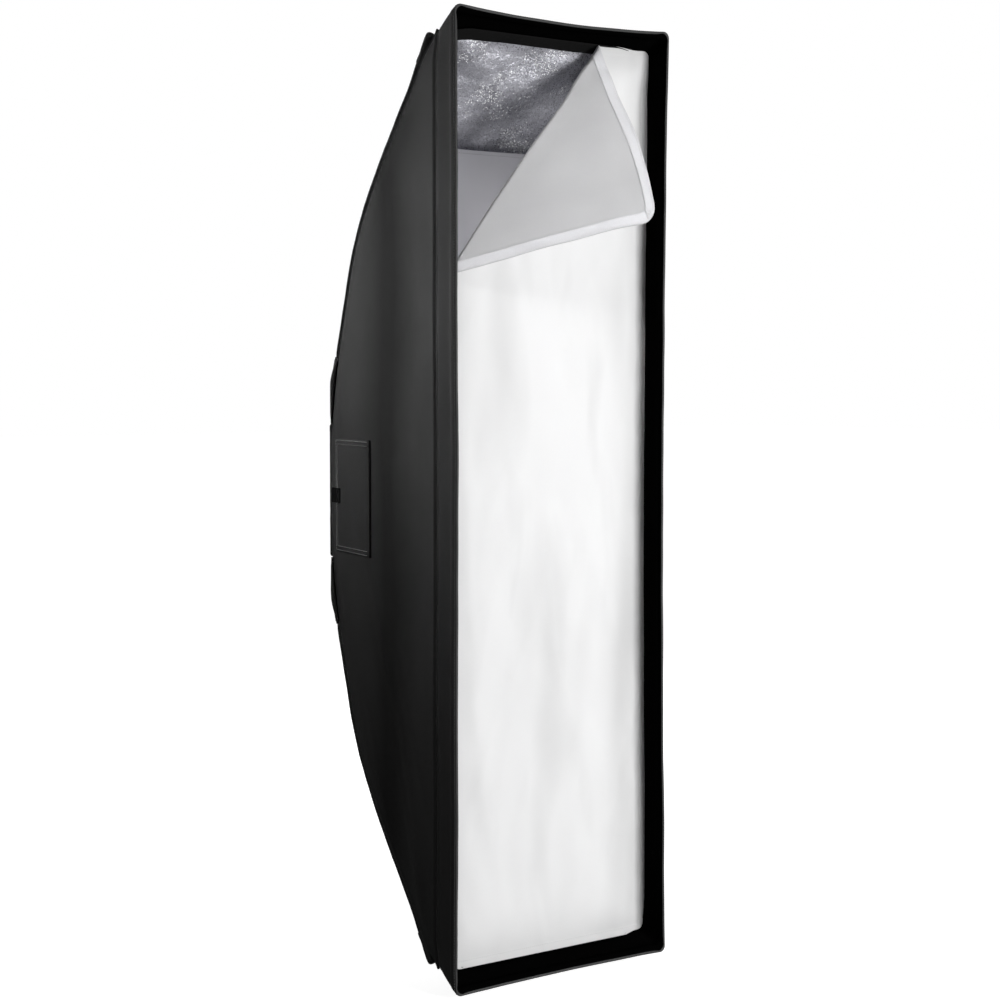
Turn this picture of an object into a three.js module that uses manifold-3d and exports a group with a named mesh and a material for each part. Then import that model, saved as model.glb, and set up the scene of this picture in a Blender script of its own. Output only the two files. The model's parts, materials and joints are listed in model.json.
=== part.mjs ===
// Strip softbox: a fabric shell on four bent rods and a rotating speedring,
// with a recessed lip, a peel-off front diffuser and an inner baffle.
//
// Millimetres, +Z up, +X right. The optical axis and the ring's axis are Y, and
// the light leaves towards -Y, so "front" is -Y. Everything is drawn with y = 0
// just behind the rear opening, then moved so that the origin is the centre of
// the object's box. The ring's parts are drawn with the mount insert's rear
// face at y = 0 and moved forward by RING_Y.
import * as THREE from 'three';
import { mergeVertices } from 'three/addons/utils/BufferGeometryUtils.js';
import Module from 'manifold-3d';

const wasm = await Module();
wasm.setup();

// ---------------------------------------------------------------- dimensions
// Suffixes: _W along x, _H along z, _T thickness, _R radius.
const DRAW_Y = 302.6;         // the drawing's y = 0, from the centre of the box
const RIM_W = 406;            // front rim, outside
const RIM_H = 1422;
const RIM_Y = -534;           // front edge of the lip
const LIP_Y = -484.5;         // where the lip joins the panels
const LIP_H = 1380;           // outside height there
const LIP_T = 3;
const SIDE_TAPER = 0.25;      // each side closes in this much per mm rearwards

const PANEL_T = 2;            // panel laminate
const PANEL_FRONT = LIP_Y + 0.6;
const PANEL_Z0 = 217;         // top and bottom panels start here
const PANEL_Z1 = 684;         // all panels end here
const PANEL_INSET = 2.6;      // top and bottom panels lie this far inside the seam

const ROD_R = 4;
const ROD_FIT = 0.4;          // clearance around a rod in its bores
const ROD_OUT = 6.4;          // rod centre stands this far outside the seam
const CHANNEL_R = 8;          // rod channel, outside
const CHANNEL_BORE_R = 5.4;

const RING_Y = -12;           // the ring sits this far inside the rear opening
const BORE_R = 52;            // light opening through the insert
const HUB_R = 60;
const PLATE_FRONT = -24;
const PLATE_REAR = -7;
const SOCKET_X = 72;
const SOCKET_Y = -34;
const SOCKET_Z = 52;          // middle of a socket, and its screw
const SCREW_HOLE_R = 2.4;
const LOCK_SCREW_Y = (-28) / 2;

// Corner seam in side view: [y, height above the centre line].
const SEAM = [
  [-34, 0], [-35, 60], [-44, 120], [-60, 180], [-84, 240], [-112, 300], [-143, 365],
  [-190, 430], [-247, 486], [-313, 541], [-379, 593], [-438, 644], [-484, 690],
];

// Name part and the signs of x and z.
const SIDES = [['left', -1], ['right', 1]];
const ENDS = [['top', 1], ['bottom', -1]];
const CORNERS = [['ul', -1, 1], ['ur', 1, 1], ['ll', -1, -1], ['lr', 1, -1]];

// ----------------------------------------------------------------- materials
const LOOKS = {
  outer: { color: 0x1c1c1e, roughness: 0.82, metalness: 0 },
  lip: { color: 0x0c0c0d, roughness: 0.85, metalness: 0 },
  webbing: { color: 0x141416, roughness: 0.8, metalness: 0 },
  diffuser: { color: 0xf4f4f6, roughness: 0.75, metalness: 0 },
  baffle: { color: 0xdcdce4, roughness: 0.75, metalness: 0 },
  tape: { color: 0xe4e4ea, roughness: 0.9, metalness: 0 },
  rod: { color: 0x9a9ca0, roughness: 0.35, metalness: 0.9 },
  ring: { color: 0x2a2b2d, roughness: 0.45, metalness: 0.6 },
  insert: { color: 0xb8babd, roughness: 0.35, metalness: 0.85 },
  screw: { color: 0x8c8e92, roughness: 0.35, metalness: 0.9 },
  knob: { color: 0x121213, roughness: 0.6, metalness: 0 },
  tip: { color: 0x18181a, roughness: 0.55, metalness: 0 },
};

// ------------------------------------------------------------ shell surfaces
// Half the shell's outside width at depth y.
const halfWidth = (y) => RIM_W / 2 - (y > LIP_Y ? SIDE_TAPER * (y - LIP_Y) : 0);

const seamTable = new THREE.CatmullRomCurve3(
  SEAM.map(([y, z]) => new THREE.Vector3(0, y, z)), false, 'centripetal').getPoints(600);

// The seam at height z, with its normal: rearwards and away from the centre.
function seamAt(z) {
  let i = 1;
  while (i < seamTable.length - 1 && seamTable[i].z < z) i++;
  const start = seamTable[i - 1];
  const end = seamTable[i];
  const t = THREE.MathUtils.clamp((z - start.z) / (end.z - start.z), 0, 1);
  const dir = end.clone().sub(start).normalize();
  return { y: start.y + (end.y - start.y) * t, z, normalY: dir.z, normalZ: -dir.y };
}

// [x, y, z] at a distance out from a seam point, in the upper or lower half.
const offSeam = (seam, out, x, signZ = 1) =>
  [x, seam.y + out * seam.normalY, signZ * (seam.z + out * seam.normalZ)];

// ---------------------------------------------------------- geometry helpers
// Closed mesh with shared vertices, no degenerate faces, and faces outwards.
function solid(source) {
  const stripped = source.clone();
  stripped.deleteAttribute('normal');
  stripped.deleteAttribute('uv');
  stripped.clearGroups();
  const geo = mergeVertices(stripped, 1e-4);
  const position = geo.attributes.position;
  const index = geo.index.array;
  const corners = [0, 1, 2].map(() => new THREE.Vector3());
  const kept = [];
  let volume = 0;
  for (let i = 0; i < index.length; i += 3) {
    const face = [index[i], index[i + 1], index[i + 2]];
    if (new Set(face).size < 3) continue;
    face.forEach((vertex, k) => corners[k].fromBufferAttribute(position, vertex));
    volume += corners[0].dot(corners[1].cross(corners[2]));
    kept.push(...face);
  }
  if (volume < 0) {
    for (let i = 0; i < kept.length; i += 3) [kept[i], kept[i + 1]] = [kept[i + 1], kept[i]];
  }
  geo.setIndex(kept);
  return geo;
}

function toManifold(source) {
  const geo = solid(source);
  return new wasm.Manifold(new wasm.Mesh({
    numProp: 3,
    vertProperties: new Float32Array(geo.attributes.position.array),
    triVerts: new Uint32Array(geo.index.array),
  }));
}
function fromManifold(manifold) {
  const mesh = manifold.getMesh();
  const geo = new THREE.BufferGeometry();
  geo.setAttribute('position', new THREE.BufferAttribute(new Float32Array(mesh.vertProperties), 3));
  geo.setIndex(Array.from(mesh.triVerts));
  return geo;
}
const cut = (base, ...tools) => fromManifold(
  tools.reduce((result, tool) => result.subtract(toManifold(tool)), toManifold(base)));
const join = (base, ...more) => fromManifold(
  more.reduce((result, part) => result.add(toManifold(part)), toManifold(base)));

function deform(geo, move) {
  const position = geo.attributes.position;
  for (let i = 0; i < position.count; i++) {
    position.setXYZ(i, ...move(position.getX(i), position.getY(i), position.getZ(i)));
  }
  return geo;
}

// A thin curved sheet: u across, v along, w through the thickness, each 0..1.
const sheet = (stepsU, stepsV, place) =>
  deform(new THREE.BoxGeometry(1, 1, 1, stepsU, 1, stepsV),
    (x, y, z) => place(x + 0.5, z + 0.5, y + 0.5));

const block = (x0, x1, y0, y1, z0, z1) =>
  new THREE.BoxGeometry(Math.abs(x1 - x0), Math.abs(y1 - y0), Math.abs(z1 - z0))
    .translate((x0 + x1) / 2, (y0 + y1) / 2, (z0 + z1) / 2);

// A flat strip along a side panel: offset from the shell's outside face, then
// thickness, both outwards when positive.
const sideStrip = (signX, offset, thickness, { y0, y1, z0, z1 }) =>
  deform(block(0, 1, y0, y1, z0, z1),
    (depth, y, z) => [signX * (halfWidth(y) + offset + thickness * depth), y, z]);

const vectors = (points) => points.map(([x, y]) => new THREE.Vector2(x, y));
const polygon = (points) => new THREE.Shape(vectors(points));

function roundRect(width, height, r, PathClass = THREE.Shape) {
  const path = new PathClass();
  const x = width / 2;
  const y = height / 2;
  path.moveTo(-x + r, -y);
  path.lineTo(x - r, -y);
  path.absarc(x - r, -y + r, r, -Math.PI / 2, 0, false);
  path.lineTo(x, y - r);
  path.absarc(x - r, y - r, r, 0, Math.PI / 2, false);
  path.lineTo(-x + r, y);
  path.absarc(-x + r, y - r, r, Math.PI / 2, Math.PI, false);
  path.lineTo(-x, -y + r);
  path.absarc(-x + r, -y + r, r, Math.PI, Math.PI * 1.5, false);
  return path;
}
const circle = (radius, PathClass = THREE.Shape) =>
  new PathClass().absarc(0, 0, radius, 0, Math.PI * 2, false);

function withHole(shape, hole) {
  shape.holes.push(hole);
  return shape;
}

const extrude = (shape, depth, curveSegments = 12) =>
  new THREE.ExtrudeGeometry(shape, { depth, bevelEnabled: false, curveSegments });
// A shape drawn in x, z and given thickness between two y values.
const plateXZ = (shape, y0, y1, curveSegments) =>
  extrude(shape, y1 - y0, curveSegments).rotateX(Math.PI / 2).translate(0, y1, 0);

function along(points, shape, steps, curveSegments) {
  const extrudePath = new THREE.CatmullRomCurve3(points, false, 'centripetal');
  return new THREE.ExtrudeGeometry(shape, {
    steps, bevelEnabled: false, extrudePath, curveSegments,
  });
}

// Profile of [radius, y] turned about the Y axis.
const lathe = (profile, segments) => new THREE.LatheGeometry(vectors(profile), segments);
const cylinder = (radius, length, segments) =>
  new THREE.CylinderGeometry(radius, radius, length, segments);

// --------------------------------------------------------------------- group
const root = new THREE.Group();
root.name = 'strip_softbox';
root.position.y = DRAW_Y;
const ring = new THREE.Group();
ring.position.y = RING_Y;
root.add(ring);

function add(name, geo, look, parent = root) {
  const mesh = new THREE.Mesh(solid(geo), new THREE.MeshStandardMaterial(LOOKS[look]));
  mesh.name = name;
  parent.add(mesh);
  return mesh;
}

// ------------------------------------------------------------- mount insert
function addMountInsert() {
  const FRONT = -24.5;
  const FLANGE_R = 72;
  const FLANGE_FRONT = -6.3;
  const LUG_COUNT = 3;
  const LUG_ANGLE = Math.PI * 5 / 6;   // middle of the first lug
  const LUG_HALF_ANGLE = 0.32;
  const SNAP = { inner: BORE_R + 0.5, outer: 69, front: -28, rear: -24.9 };

  const sector = (start, inner, outer, y0, y1) => {
    const end = start + 2 * LUG_HALF_ANGLE;
    const shape = new THREE.Shape();
    shape.absarc(0, 0, outer, start, end, false);
    shape.absarc(0, 0, inner, end, start, true);
    return plateXZ(shape, y0, y1, 8);
  };
  const lugs = [];
  for (let k = 0; k < LUG_COUNT; k++) {
    const start = LUG_ANGLE + k * Math.PI * 2 / LUG_COUNT - LUG_HALF_ANGLE;
    // a standing wall with a lip turned outwards at its rear
    lugs.push(sector(start, 53.2, 57, -1.5, 9), sector(start, 55.5, 61, 5, 9));
  }
  const body = lathe([
    [BORE_R, FRONT], [HUB_R, FRONT], [HUB_R, FLANGE_FRONT], [FLANGE_R, FLANGE_FRONT],
    [FLANGE_R, 0], [BORE_R, 0], [BORE_R, FRONT],
  ], 60);
  add('mount_insert', join(body, ...lugs), 'insert', ring);

  // snap ring in front of the speedring plate, holding the insert in
  add('insert_snap_ring', lathe([
    [SNAP.inner, SNAP.front], [SNAP.outer, SNAP.front], [SNAP.outer, SNAP.rear],
    [SNAP.inner, SNAP.rear], [SNAP.inner, SNAP.front],
  ], 48), 'screw', ring);
}

// ----------------------------------------------------------- speedring plate
function addSpeedringPlate() {
  const WIDTH = 162;
  const HEIGHT = 164;
  const CORNER_R = 46;
  const HUB_GAP = 0.8;
  const LOCK_HOLE = { radius: 3.3, length: 40, z: 74 };

  const outline = withHole(roundRect(WIDTH, HEIGHT, CORNER_R), circle(HUB_R + HUB_GAP, THREE.Path));
  const lockHoles = ENDS.map(([, signZ]) =>
    cylinder(LOCK_HOLE.radius, LOCK_HOLE.length, 20).rotateX(Math.PI / 2)
      .translate(0, LOCK_SCREW_Y, signZ * LOCK_HOLE.z));
  const socketHoles = CORNERS.map(([, signX, signZ]) =>
    cylinder(SCREW_HOLE_R, 30, 16).translate(signX * SOCKET_X, -15, signZ * SOCKET_Z));
  const plate = plateXZ(outline, PLATE_FRONT, PLATE_REAR, 14);
  add('speedring_plate', cut(plate, ...lockHoles, ...socketHoles), 'ring', ring);
}

// ------------------------------------------------------ rod sockets, screws
// D-section block, flat side to the rear, with a bore along Z.
function socketGeometry(signX, signZ) {
  const RADIUS = 8;
  const FLAT_Y = 9.6;
  const LENGTH = 44;
  const section = new THREE.Shape();
  section.moveTo(-RADIUS, FLAT_Y);
  section.lineTo(-RADIUS, 0);
  section.absarc(0, 0, RADIUS, Math.PI, Math.PI * 2, false);
  section.lineTo(RADIUS, FLAT_Y);
  section.lineTo(-RADIUS, FLAT_Y);
  withHole(section, circle(ROD_R + ROD_FIT, THREE.Path));
  const body = extrude(section, LENGTH, 10)
    .translate(signX * SOCKET_X, SOCKET_Y, signZ * SOCKET_Z - LENGTH / 2);
  const screwHole = cylinder(SCREW_HOLE_R, 8, 16)
    .translate(signX * SOCKET_X, -25.2, signZ * SOCKET_Z);
  return cut(body, screwHole);
}

// Pan head behind the plate, shank through the plate into the socket.
const SOCKET_SCREW = [
  [0, -28.6], [2, -28.6], [2, -6.6], [4.2, -6.6], [4.2, -4.6], [3, -3.4], [0, -3.4],
];

function addSockets() {
  for (const [tag, signX, signZ] of CORNERS) {
    add(`rod_socket_${tag}`, socketGeometry(signX, signZ), 'ring', ring);
    const screw = lathe(SOCKET_SCREW, 16).translate(signX * SOCKET_X, 0, signZ * SOCKET_Z);
    add(`socket_screw_${tag}`, screw, 'screw', ring);
  }
}

// ------------------------------------------------------------- lock screws
function addLockScrews() {
  const KNOB = { radius: 9.3, wave: 0.7, lobes: 8, points: 48, z: 84, length: 14 };
  const SHANK = { radius: 2.9, length: 25, z: 73.7 };

  const outline = Array.from({ length: KNOB.points }, (_, i) => {
    const angle = i / KNOB.points * Math.PI * 2;
    const r = KNOB.radius + KNOB.wave * Math.cos(angle * KNOB.lobes);
    return [r * Math.cos(angle), r * Math.sin(angle)];
  });
  for (const [tag, signZ] of ENDS) {
    const head = extrude(polygon(outline), KNOB.length).translate(0, 0, KNOB.z);
    const shank = cylinder(SHANK.radius, SHANK.length, 20).rotateX(Math.PI / 2)
      .translate(0, 0, SHANK.z);
    const screw = join(head, shank);
    // the bottom one is turned so that its head stands away from the axis
    if (signZ < 0) screw.rotateX(Math.PI);
    add(`ring_lock_screw_${tag}`, screw.translate(0, LOCK_SCREW_Y, 0), 'knob', ring);
  }
}

// ------------------------------------------- rods, channels, tips, pockets
// Everything is laid out for the upper right corner; the others mirror it.
function addRods() {
  const POCKET_OUT = ROD_OUT + 2;   // the pocket stands further out than the rod
  const END_GAP = 13;               // from the rod's end to the pocket's far point
  const TIP_BORE = 12;
  const TIP_R = 5.7;
  const POCKET_BORE_R = 6.2;
  const POCKET_TURN = 0.11;         // about the pocket's own axis

  const rodPoint = (z, out = ROD_OUT) => {
    const seam = seamAt(z);
    return new THREE.Vector3(...offSeam(seam, out, halfWidth(seam.y) - CHANNEL_R));
  };
  const pocketStart = rodPoint(636, POCKET_OUT);
  const pocketEnd = rodPoint(672, POCKET_OUT);
  const tipDir = pocketEnd.clone().sub(pocketStart).normalize();
  const rodEnd = pocketEnd.clone().addScaledVector(tipDir, -END_GAP);

  // [x, y, z] from the socket out to the start of the channel
  const lower = [
    [SOCKET_X, SOCKET_Y + RING_Y, 36], [SOCKET_X, SOCKET_Y + RING_Y, 76],
    [74.5, -50, 112], [80, -56, 156], [87.5, -63.5, 196],
  ].map((point) => new THREE.Vector3(...point));
  // heights of the points that follow the seam
  const middle = [219, 262, 310, 360, 405, 450, 495, 540, 585, 618].map((z) => rodPoint(z));
  const rodPath = [
    ...lower, ...middle, pocketStart, pocketStart.clone().lerp(rodEnd, 0.5), rodEnd,
  ];
  const channelPath = [...middle, pocketStart.clone().addScaledVector(tipDir, -1)];
  const tipStart = rodEnd.clone().addScaledVector(tipDir, 0.5 - TIP_BORE);

  // rounded cap on the rod's end, bored for the rod
  const tipProfile = [
    [0, TIP_BORE], [ROD_R + ROD_FIT, TIP_BORE], [ROD_R + ROD_FIT, 0],
    [TIP_R, 0], [TIP_R, TIP_BORE], [4.4, 15.2], [0, 16.4],
  ];
  // corner pocket, a closed cup over the tip
  const pocketLength = pocketEnd.distanceTo(pocketStart) + 1;
  const pocketFloor = pocketLength - 2.2;
  const pocketProfile = [
    [0, pocketFloor], [POCKET_BORE_R, pocketFloor], [POCKET_BORE_R, 0], [CHANNEL_R, 0],
    [CHANNEL_R, pocketLength - 9], [7, pocketLength - 3.5], [4.6, pocketLength], [0, pocketLength],
  ];

  for (const [tag, signX, signZ] of CORNERS) {
    const mirror = (point) => new THREE.Vector3(point.x * signX, point.y, point.z * signZ);
    const turn = new THREE.Quaternion()
      .setFromUnitVectors(new THREE.Vector3(0, 1, 0), mirror(tipDir));
    const place = (mesh, at) => {
      mesh.quaternion.copy(turn);
      mesh.position.copy(mirror(at));
    };
    add(`rod_${tag}`, along(rodPath.map(mirror), circle(ROD_R), 34, 5), 'rod');
    const tube = withHole(circle(CHANNEL_R), circle(CHANNEL_BORE_R, THREE.Path));
    add(`rod_channel_${tag}`, along(channelPath.map(mirror), tube, 20, 6), 'outer');
    place(add(`rod_tip_${tag}`, lathe(tipProfile, 20), 'tip'), tipStart);
    const pocket = lathe(pocketProfile, 16).rotateY(POCKET_TURN);
    place(add(`rod_pocket_${tag}`, pocket, 'outer'), pocketStart);
  }
}

// -------------------------------------------------------------- side panels
const ACCESS_FLAP = { y0: -225, y1: -75, z0: -97, z1: 87 };

function addSidePanels() {
  const STEP = 36;
  const REAR_LIMIT = -34.6;
  const SEAM_GAP = 0.3;
  const FLAP_OVERLAP = 13;   // the flap covers this much around its opening

  const outline = [[PANEL_FRONT, -PANEL_Z1], [PANEL_FRONT, PANEL_Z1]];
  for (let z = PANEL_Z1; z >= -PANEL_Z1; z -= STEP) {
    outline.push([Math.min(seamAt(Math.abs(z)).y - SEAM_GAP, REAR_LIMIT), z]);
  }
  const y0 = ACCESS_FLAP.y0 + FLAP_OVERLAP;
  const y1 = ACCESS_FLAP.y1 - FLAP_OVERLAP;
  const z0 = ACCESS_FLAP.z0 + FLAP_OVERLAP;
  const z1 = ACCESS_FLAP.z1 - FLAP_OVERLAP;
  const opening = new THREE.Path(vectors([[y0, z0], [y1, z0], [y1, z1], [y0, z1]]));
  const panel = withHole(polygon(outline), opening);
  for (const [tag, signX] of SIDES) {
    add(`side_panel_${tag}`, deform(extrude(panel, 1),
      (y, z, depth) => [signX * (halfWidth(y) - PANEL_T * depth), y, z]), 'outer');
  }
}

// ----------------------------------------------------- top and bottom panels
function addEndPanels() {
  const SIDE_GAP = 2.9;
  const EDGE = 17;     // flat strip along each side edge, beside the crown
  const CROWN = 9;     // how far the middle bulges out
  const COLUMNS = 8;   // one for each flat strip, the rest across the crown
  const MIDDLE = COLUMNS / 2;

  for (const [tag, signZ] of ENDS) {
    add(`${tag}_panel`, sheet(COLUMNS, 16, (u, v, w) => {
      const seam = seamAt(PANEL_Z0 + (PANEL_Z1 - PANEL_Z0) * v);
      const column = Math.round(u * COLUMNS) - MIDDLE;
      const outer = halfWidth(seam.y) - SIDE_GAP;
      const crowned = outer - EDGE;
      const x = Math.abs(column) === MIDDLE
        ? column / MIDDLE * outer
        : column / (MIDDLE - 1) * crowned;
      const crown = Math.abs(x) < crowned
        ? CROWN * Math.sin(Math.PI * v) ** 0.6 * (1 - (x / crowned) ** 2)
        : 0;
      return offSeam(seam, crown - PANEL_INSET - PANEL_T * w, x, signZ);
    }), 'outer');
  }
}

// ----------------------------------------------------------------- front lip
function addFrontLip() {
  const outline = withHole(roundRect(RIM_W, RIM_H, 7),
    roundRect(RIM_W - 2 * LIP_T, RIM_H - 2 * LIP_T - 1, 5, THREE.Path));
  // its height shrinks from the rim to the panels
  add('front_lip', deform(plateXZ(outline, RIM_Y, LIP_Y, 4), (x, y, z) => {
    const t = (y - RIM_Y) / (LIP_Y - RIM_Y);
    return [x, y, z * (1 + (LIP_H / RIM_H - 1) * t)];
  }), 'lip');
}

// ------------------------------------------------------ rear hem, rear flaps
function addRearHem() {
  const outline = withHole(roundRect(177, 220, 12), roundRect(165, 206, 8, THREE.Path));
  add('rear_hem', plateXZ(outline, -32, -26, 6), 'outer');
}

function addRearFlaps() {
  const Z0 = 112;
  const Z1 = 213;
  const THICKNESS = 2;
  const START_OUT = 5.5;   // inner face from the seam at Z0
  const RISE = 7;          // further out by this much at Z1
  const SIDE_GAP = 1;
  const FLARE = 5;         // wider on each side by this much at Z1
  for (const [tag, signZ] of ENDS) {
    add(`rear_flap_${tag}`, sheet(4, 6, (u, v, w) => {
      const seam = seamAt(Z0 + (Z1 - Z0) * v);
      const x = (u * 2 - 1) * (halfWidth(seam.y) - SIDE_GAP + FLARE * v);
      return offSeam(seam, START_OUT + RISE * v + THICKNESS * (1 - w), x, signZ);
    }), 'outer');
  }
}

// ------------------------------------------------------- access flaps, tabs
function addAccessFlaps() {
  const PULL_TAB = { y0: -97, y1: -58, z0: -18, z1: 6 };
  for (const [tag, signX] of SIDES) {
    add(`access_flap_${tag}`, sideStrip(signX, 0.5, 2, ACCESS_FLAP), 'outer');
    add(`pull_tab_${tag}`, sideStrip(signX, 3, 1.6, PULL_TAB), 'webbing');
  }
}

// ------------------------------------------- hook bands, inside the panels
function addHookBands() {
  const THICKNESS = 1.2;
  const SIDE_BAND = { y0: -483.5, y1: -465, z0: -650, z1: 650 };
  const END_Z = 663;
  const END_WIDTH = 18;
  const END_SIDE_GAP = 8;
  for (const [tag, signX] of SIDES) {
    add(`hook_band_${tag}`, sideStrip(signX, -PANEL_T - 0.4, -THICKNESS, SIDE_BAND), 'webbing');
  }
  for (const [tag, signZ] of ENDS) {
    add(`hook_band_${tag}`, sheet(1, 2, (u, v, w) => {
      const seam = seamAt(END_Z + END_WIDTH * v);
      const x = (u * 2 - 1) * (halfWidth(seam.y) - END_SIDE_GAP);
      return offSeam(seam, -PANEL_INSET - PANEL_T - 0.5 - THICKNESS * w, x, signZ);
    }), 'webbing');
  }
}

// ------------------------------------------------------------ inner baffle
function addBaffle() {
  const MIDDLE_Y = -322;
  const THICKNESS = 1.2;
  add('inner_baffle', plateXZ(roundRect(308, 1076, 12),
    MIDDLE_Y - THICKNESS / 2, MIDDLE_Y + THICKNESS / 2, 4), 'baffle');
  for (const [tag, signX, signZ] of CORNERS) {
    add(`baffle_tab_${tag}`, block(signX * 124, signX * 150,
      MIDDLE_Y - 2.2, MIDDLE_Y - 1, signZ * 480, signZ * 525), 'tape');
  }
}

// ---------------------------------------------------------- front diffuser
// A flat sheet with tape on its rear face. The upper left corner is drawn
// closed, then folded forward about its diagonal.
function addDiffuser() {
  const MIDDLE_Y = -487;
  const THICKNESS = 1.2;
  const RIGHT = 396 / 2;
  const TOP = 1372 / 2;
  const FOLD_TOP_X = 99;      // where the fold meets the top edge
  const FOLD_SIDE_Z = 337;    // and the left edge
  const FOLD_DEG = 150;       // how far the corner is folded from closed
  const FOLD_GAP = 0.5;       // from the fold line to the cloth on either side
  const TAPE_W = 18;
  const TAPE_T = 1.2;
  const TAPE_EDGE = 2;        // tape stops this far inside the sheet's edge

  const front = MIDDLE_Y - THICKNESS / 2;
  const rear = MIDDLE_Y + THICKNESS / 2;
  const foldSide = new THREE.Vector2(-RIGHT, FOLD_SIDE_Z);
  const foldTop = new THREE.Vector2(FOLD_TOP_X, TOP);
  const foldDir = foldTop.clone().sub(foldSide).normalize();
  const towardsCorner = new THREE.Vector2(-foldDir.y, foldDir.x);
  // the cut's ends on the left and top edges, moved towards the corner
  const cutEnds = (offset) => [
    [-RIGHT, foldSide.y + towardsCorner.y * offset + offset],
    [foldTop.x + towardsCorner.x * offset - offset, TOP],
  ];
  const tapeFront = rear + 0.3;
  const tape = (x0, x1, z0, z1) => block(x0, x1, tapeFront, tapeFront + TAPE_T, z0, z1);
  const tapeX = RIGHT - TAPE_EDGE;
  const tapeZ = TOP - TAPE_EDGE;
  const tapeButt = tapeZ - TAPE_W - 1;   // side tapes stop short of the crossing tape

  const [sheetSide, sheetTop] = cutEnds(-FOLD_GAP);
  const mainSheet = polygon([[-RIGHT, -TOP], [RIGHT, -TOP], [RIGHT, TOP], sheetTop, sheetSide]);
  add('front_diffuser', plateXZ(mainSheet, front, rear), 'diffuser');
  add('diffuser_tape_left', tape(-tapeX, -tapeX + TAPE_W, -tapeButt, 330), 'tape');
  add('diffuser_tape_right', tape(tapeX - TAPE_W, tapeX, -tapeButt, tapeZ), 'tape');
  add('diffuser_tape_bottom', tape(-tapeX, tapeX, -tapeZ, -tapeZ + TAPE_W), 'tape');

  const axisY = front - 0.3;
  const fold = new THREE.Group();
  fold.position.set(foldSide.x, axisY, foldSide.y);
  fold.quaternion.setFromAxisAngle(
    new THREE.Vector3(foldDir.x, 0, foldDir.y), THREE.MathUtils.degToRad(FOLD_DEG));
  root.add(fold);
  const addFolded = (name, geo, look) =>
    add(name, geo.translate(-foldSide.x, -axisY, -foldSide.y), look, fold);
  const corner = polygon([[-RIGHT, TOP], ...cutEnds(FOLD_GAP)]);
  addFolded('diffuser_corner', plateXZ(corner, front, rear), 'diffuser');
  addFolded('corner_tape_top', tape(-tapeX, 66, tapeZ - TAPE_W, tapeZ), 'tape');
  addFolded('corner_tape_side', tape(-tapeX, -tapeX + TAPE_W, 368, tapeButt), 'tape');
}

// ------------------------------------------------------------------ assembly
addMountInsert();
addSpeedringPlate();
addSockets();
addLockScrews();
addRods();
addSidePanels();
addEndPanels();
addFrontLip();
addRearHem();
addRearFlaps();
addAccessFlaps();
addHookBands();
addBaffle();
addDiffuser();

export default root;
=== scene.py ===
"""A tall strip softbox with a speedring, its front diffuser peeled at the upper left corner.

The open front faces -Y and the mount +Y. X is the width (left is -X) and Z the height.
Shapes are worked out in mm and meshes are stored in metres. The inner baffle lies in the XZ plane
behind the diffuser, and four rods run from the ring to the front corners.
"""
import json
import math

import bpy
import bmesh
import numpy as np
from mathutils import Matrix, Vector


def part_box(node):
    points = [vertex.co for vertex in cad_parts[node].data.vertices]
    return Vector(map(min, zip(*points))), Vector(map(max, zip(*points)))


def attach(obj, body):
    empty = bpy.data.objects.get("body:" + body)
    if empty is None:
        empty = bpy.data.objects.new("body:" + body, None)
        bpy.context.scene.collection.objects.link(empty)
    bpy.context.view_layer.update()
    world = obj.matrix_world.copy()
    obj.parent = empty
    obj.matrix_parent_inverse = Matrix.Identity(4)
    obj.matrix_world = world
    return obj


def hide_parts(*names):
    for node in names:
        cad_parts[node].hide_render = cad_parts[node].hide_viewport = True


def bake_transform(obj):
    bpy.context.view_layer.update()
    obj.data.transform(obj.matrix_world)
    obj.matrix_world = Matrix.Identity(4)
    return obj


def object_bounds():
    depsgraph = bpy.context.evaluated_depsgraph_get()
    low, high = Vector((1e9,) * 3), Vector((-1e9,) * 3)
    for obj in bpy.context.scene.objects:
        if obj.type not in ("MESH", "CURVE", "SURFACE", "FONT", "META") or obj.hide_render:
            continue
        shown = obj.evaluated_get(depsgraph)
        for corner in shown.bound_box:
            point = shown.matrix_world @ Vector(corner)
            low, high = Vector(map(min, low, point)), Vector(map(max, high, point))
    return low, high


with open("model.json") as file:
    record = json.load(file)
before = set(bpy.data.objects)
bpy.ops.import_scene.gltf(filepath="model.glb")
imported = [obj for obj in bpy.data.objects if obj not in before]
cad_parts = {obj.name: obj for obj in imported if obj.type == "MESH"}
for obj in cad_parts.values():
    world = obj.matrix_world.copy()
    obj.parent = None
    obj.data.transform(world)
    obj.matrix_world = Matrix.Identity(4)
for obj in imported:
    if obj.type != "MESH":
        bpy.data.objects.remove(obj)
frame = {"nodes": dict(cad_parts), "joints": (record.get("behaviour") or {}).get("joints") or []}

CAD_BOX = [list(v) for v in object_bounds()]
MM = 0.001


def box_mm(name):
    """a CAD piece's bounds in mm: x0, x1, y0, y1, z0, z1"""
    low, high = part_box(name)
    return [edge * 1000 for pair in zip(low, high) for edge in pair]


# tag, side (-1 left, 1 right), end (1 top, -1 bottom)
SIDES = (("left", -1), ("right", 1))
ENDS = (("top", 1), ("bottom", -1))
CORNERS = (("ul", -1, 1), ("ur", 1, 1), ("ll", -1, -1), ("lr", 1, -1))

# ------------------------------------------------------------- shared shape
# RIM_X and RIM_Z are half the rim's width and height
_, RIM_X, RIM_Y, LIP_Y, _, RIM_Z = box_mm("front_lip")
LIP_Z = RIM_Z * 1380 / 1422     # half height where the lip meets the panels
TAPER = 0.25                    # a side panel's run inwards per mm back
TAPER_COS = 1 / math.sqrt(1 + TAPER ** 2)
FACE = LIP_Y + 484.5            # the mount insert's rear face
TUCK_X, TUCK_Z = 5.5, 8.0       # how far the corners behind the lip are drawn in

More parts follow.
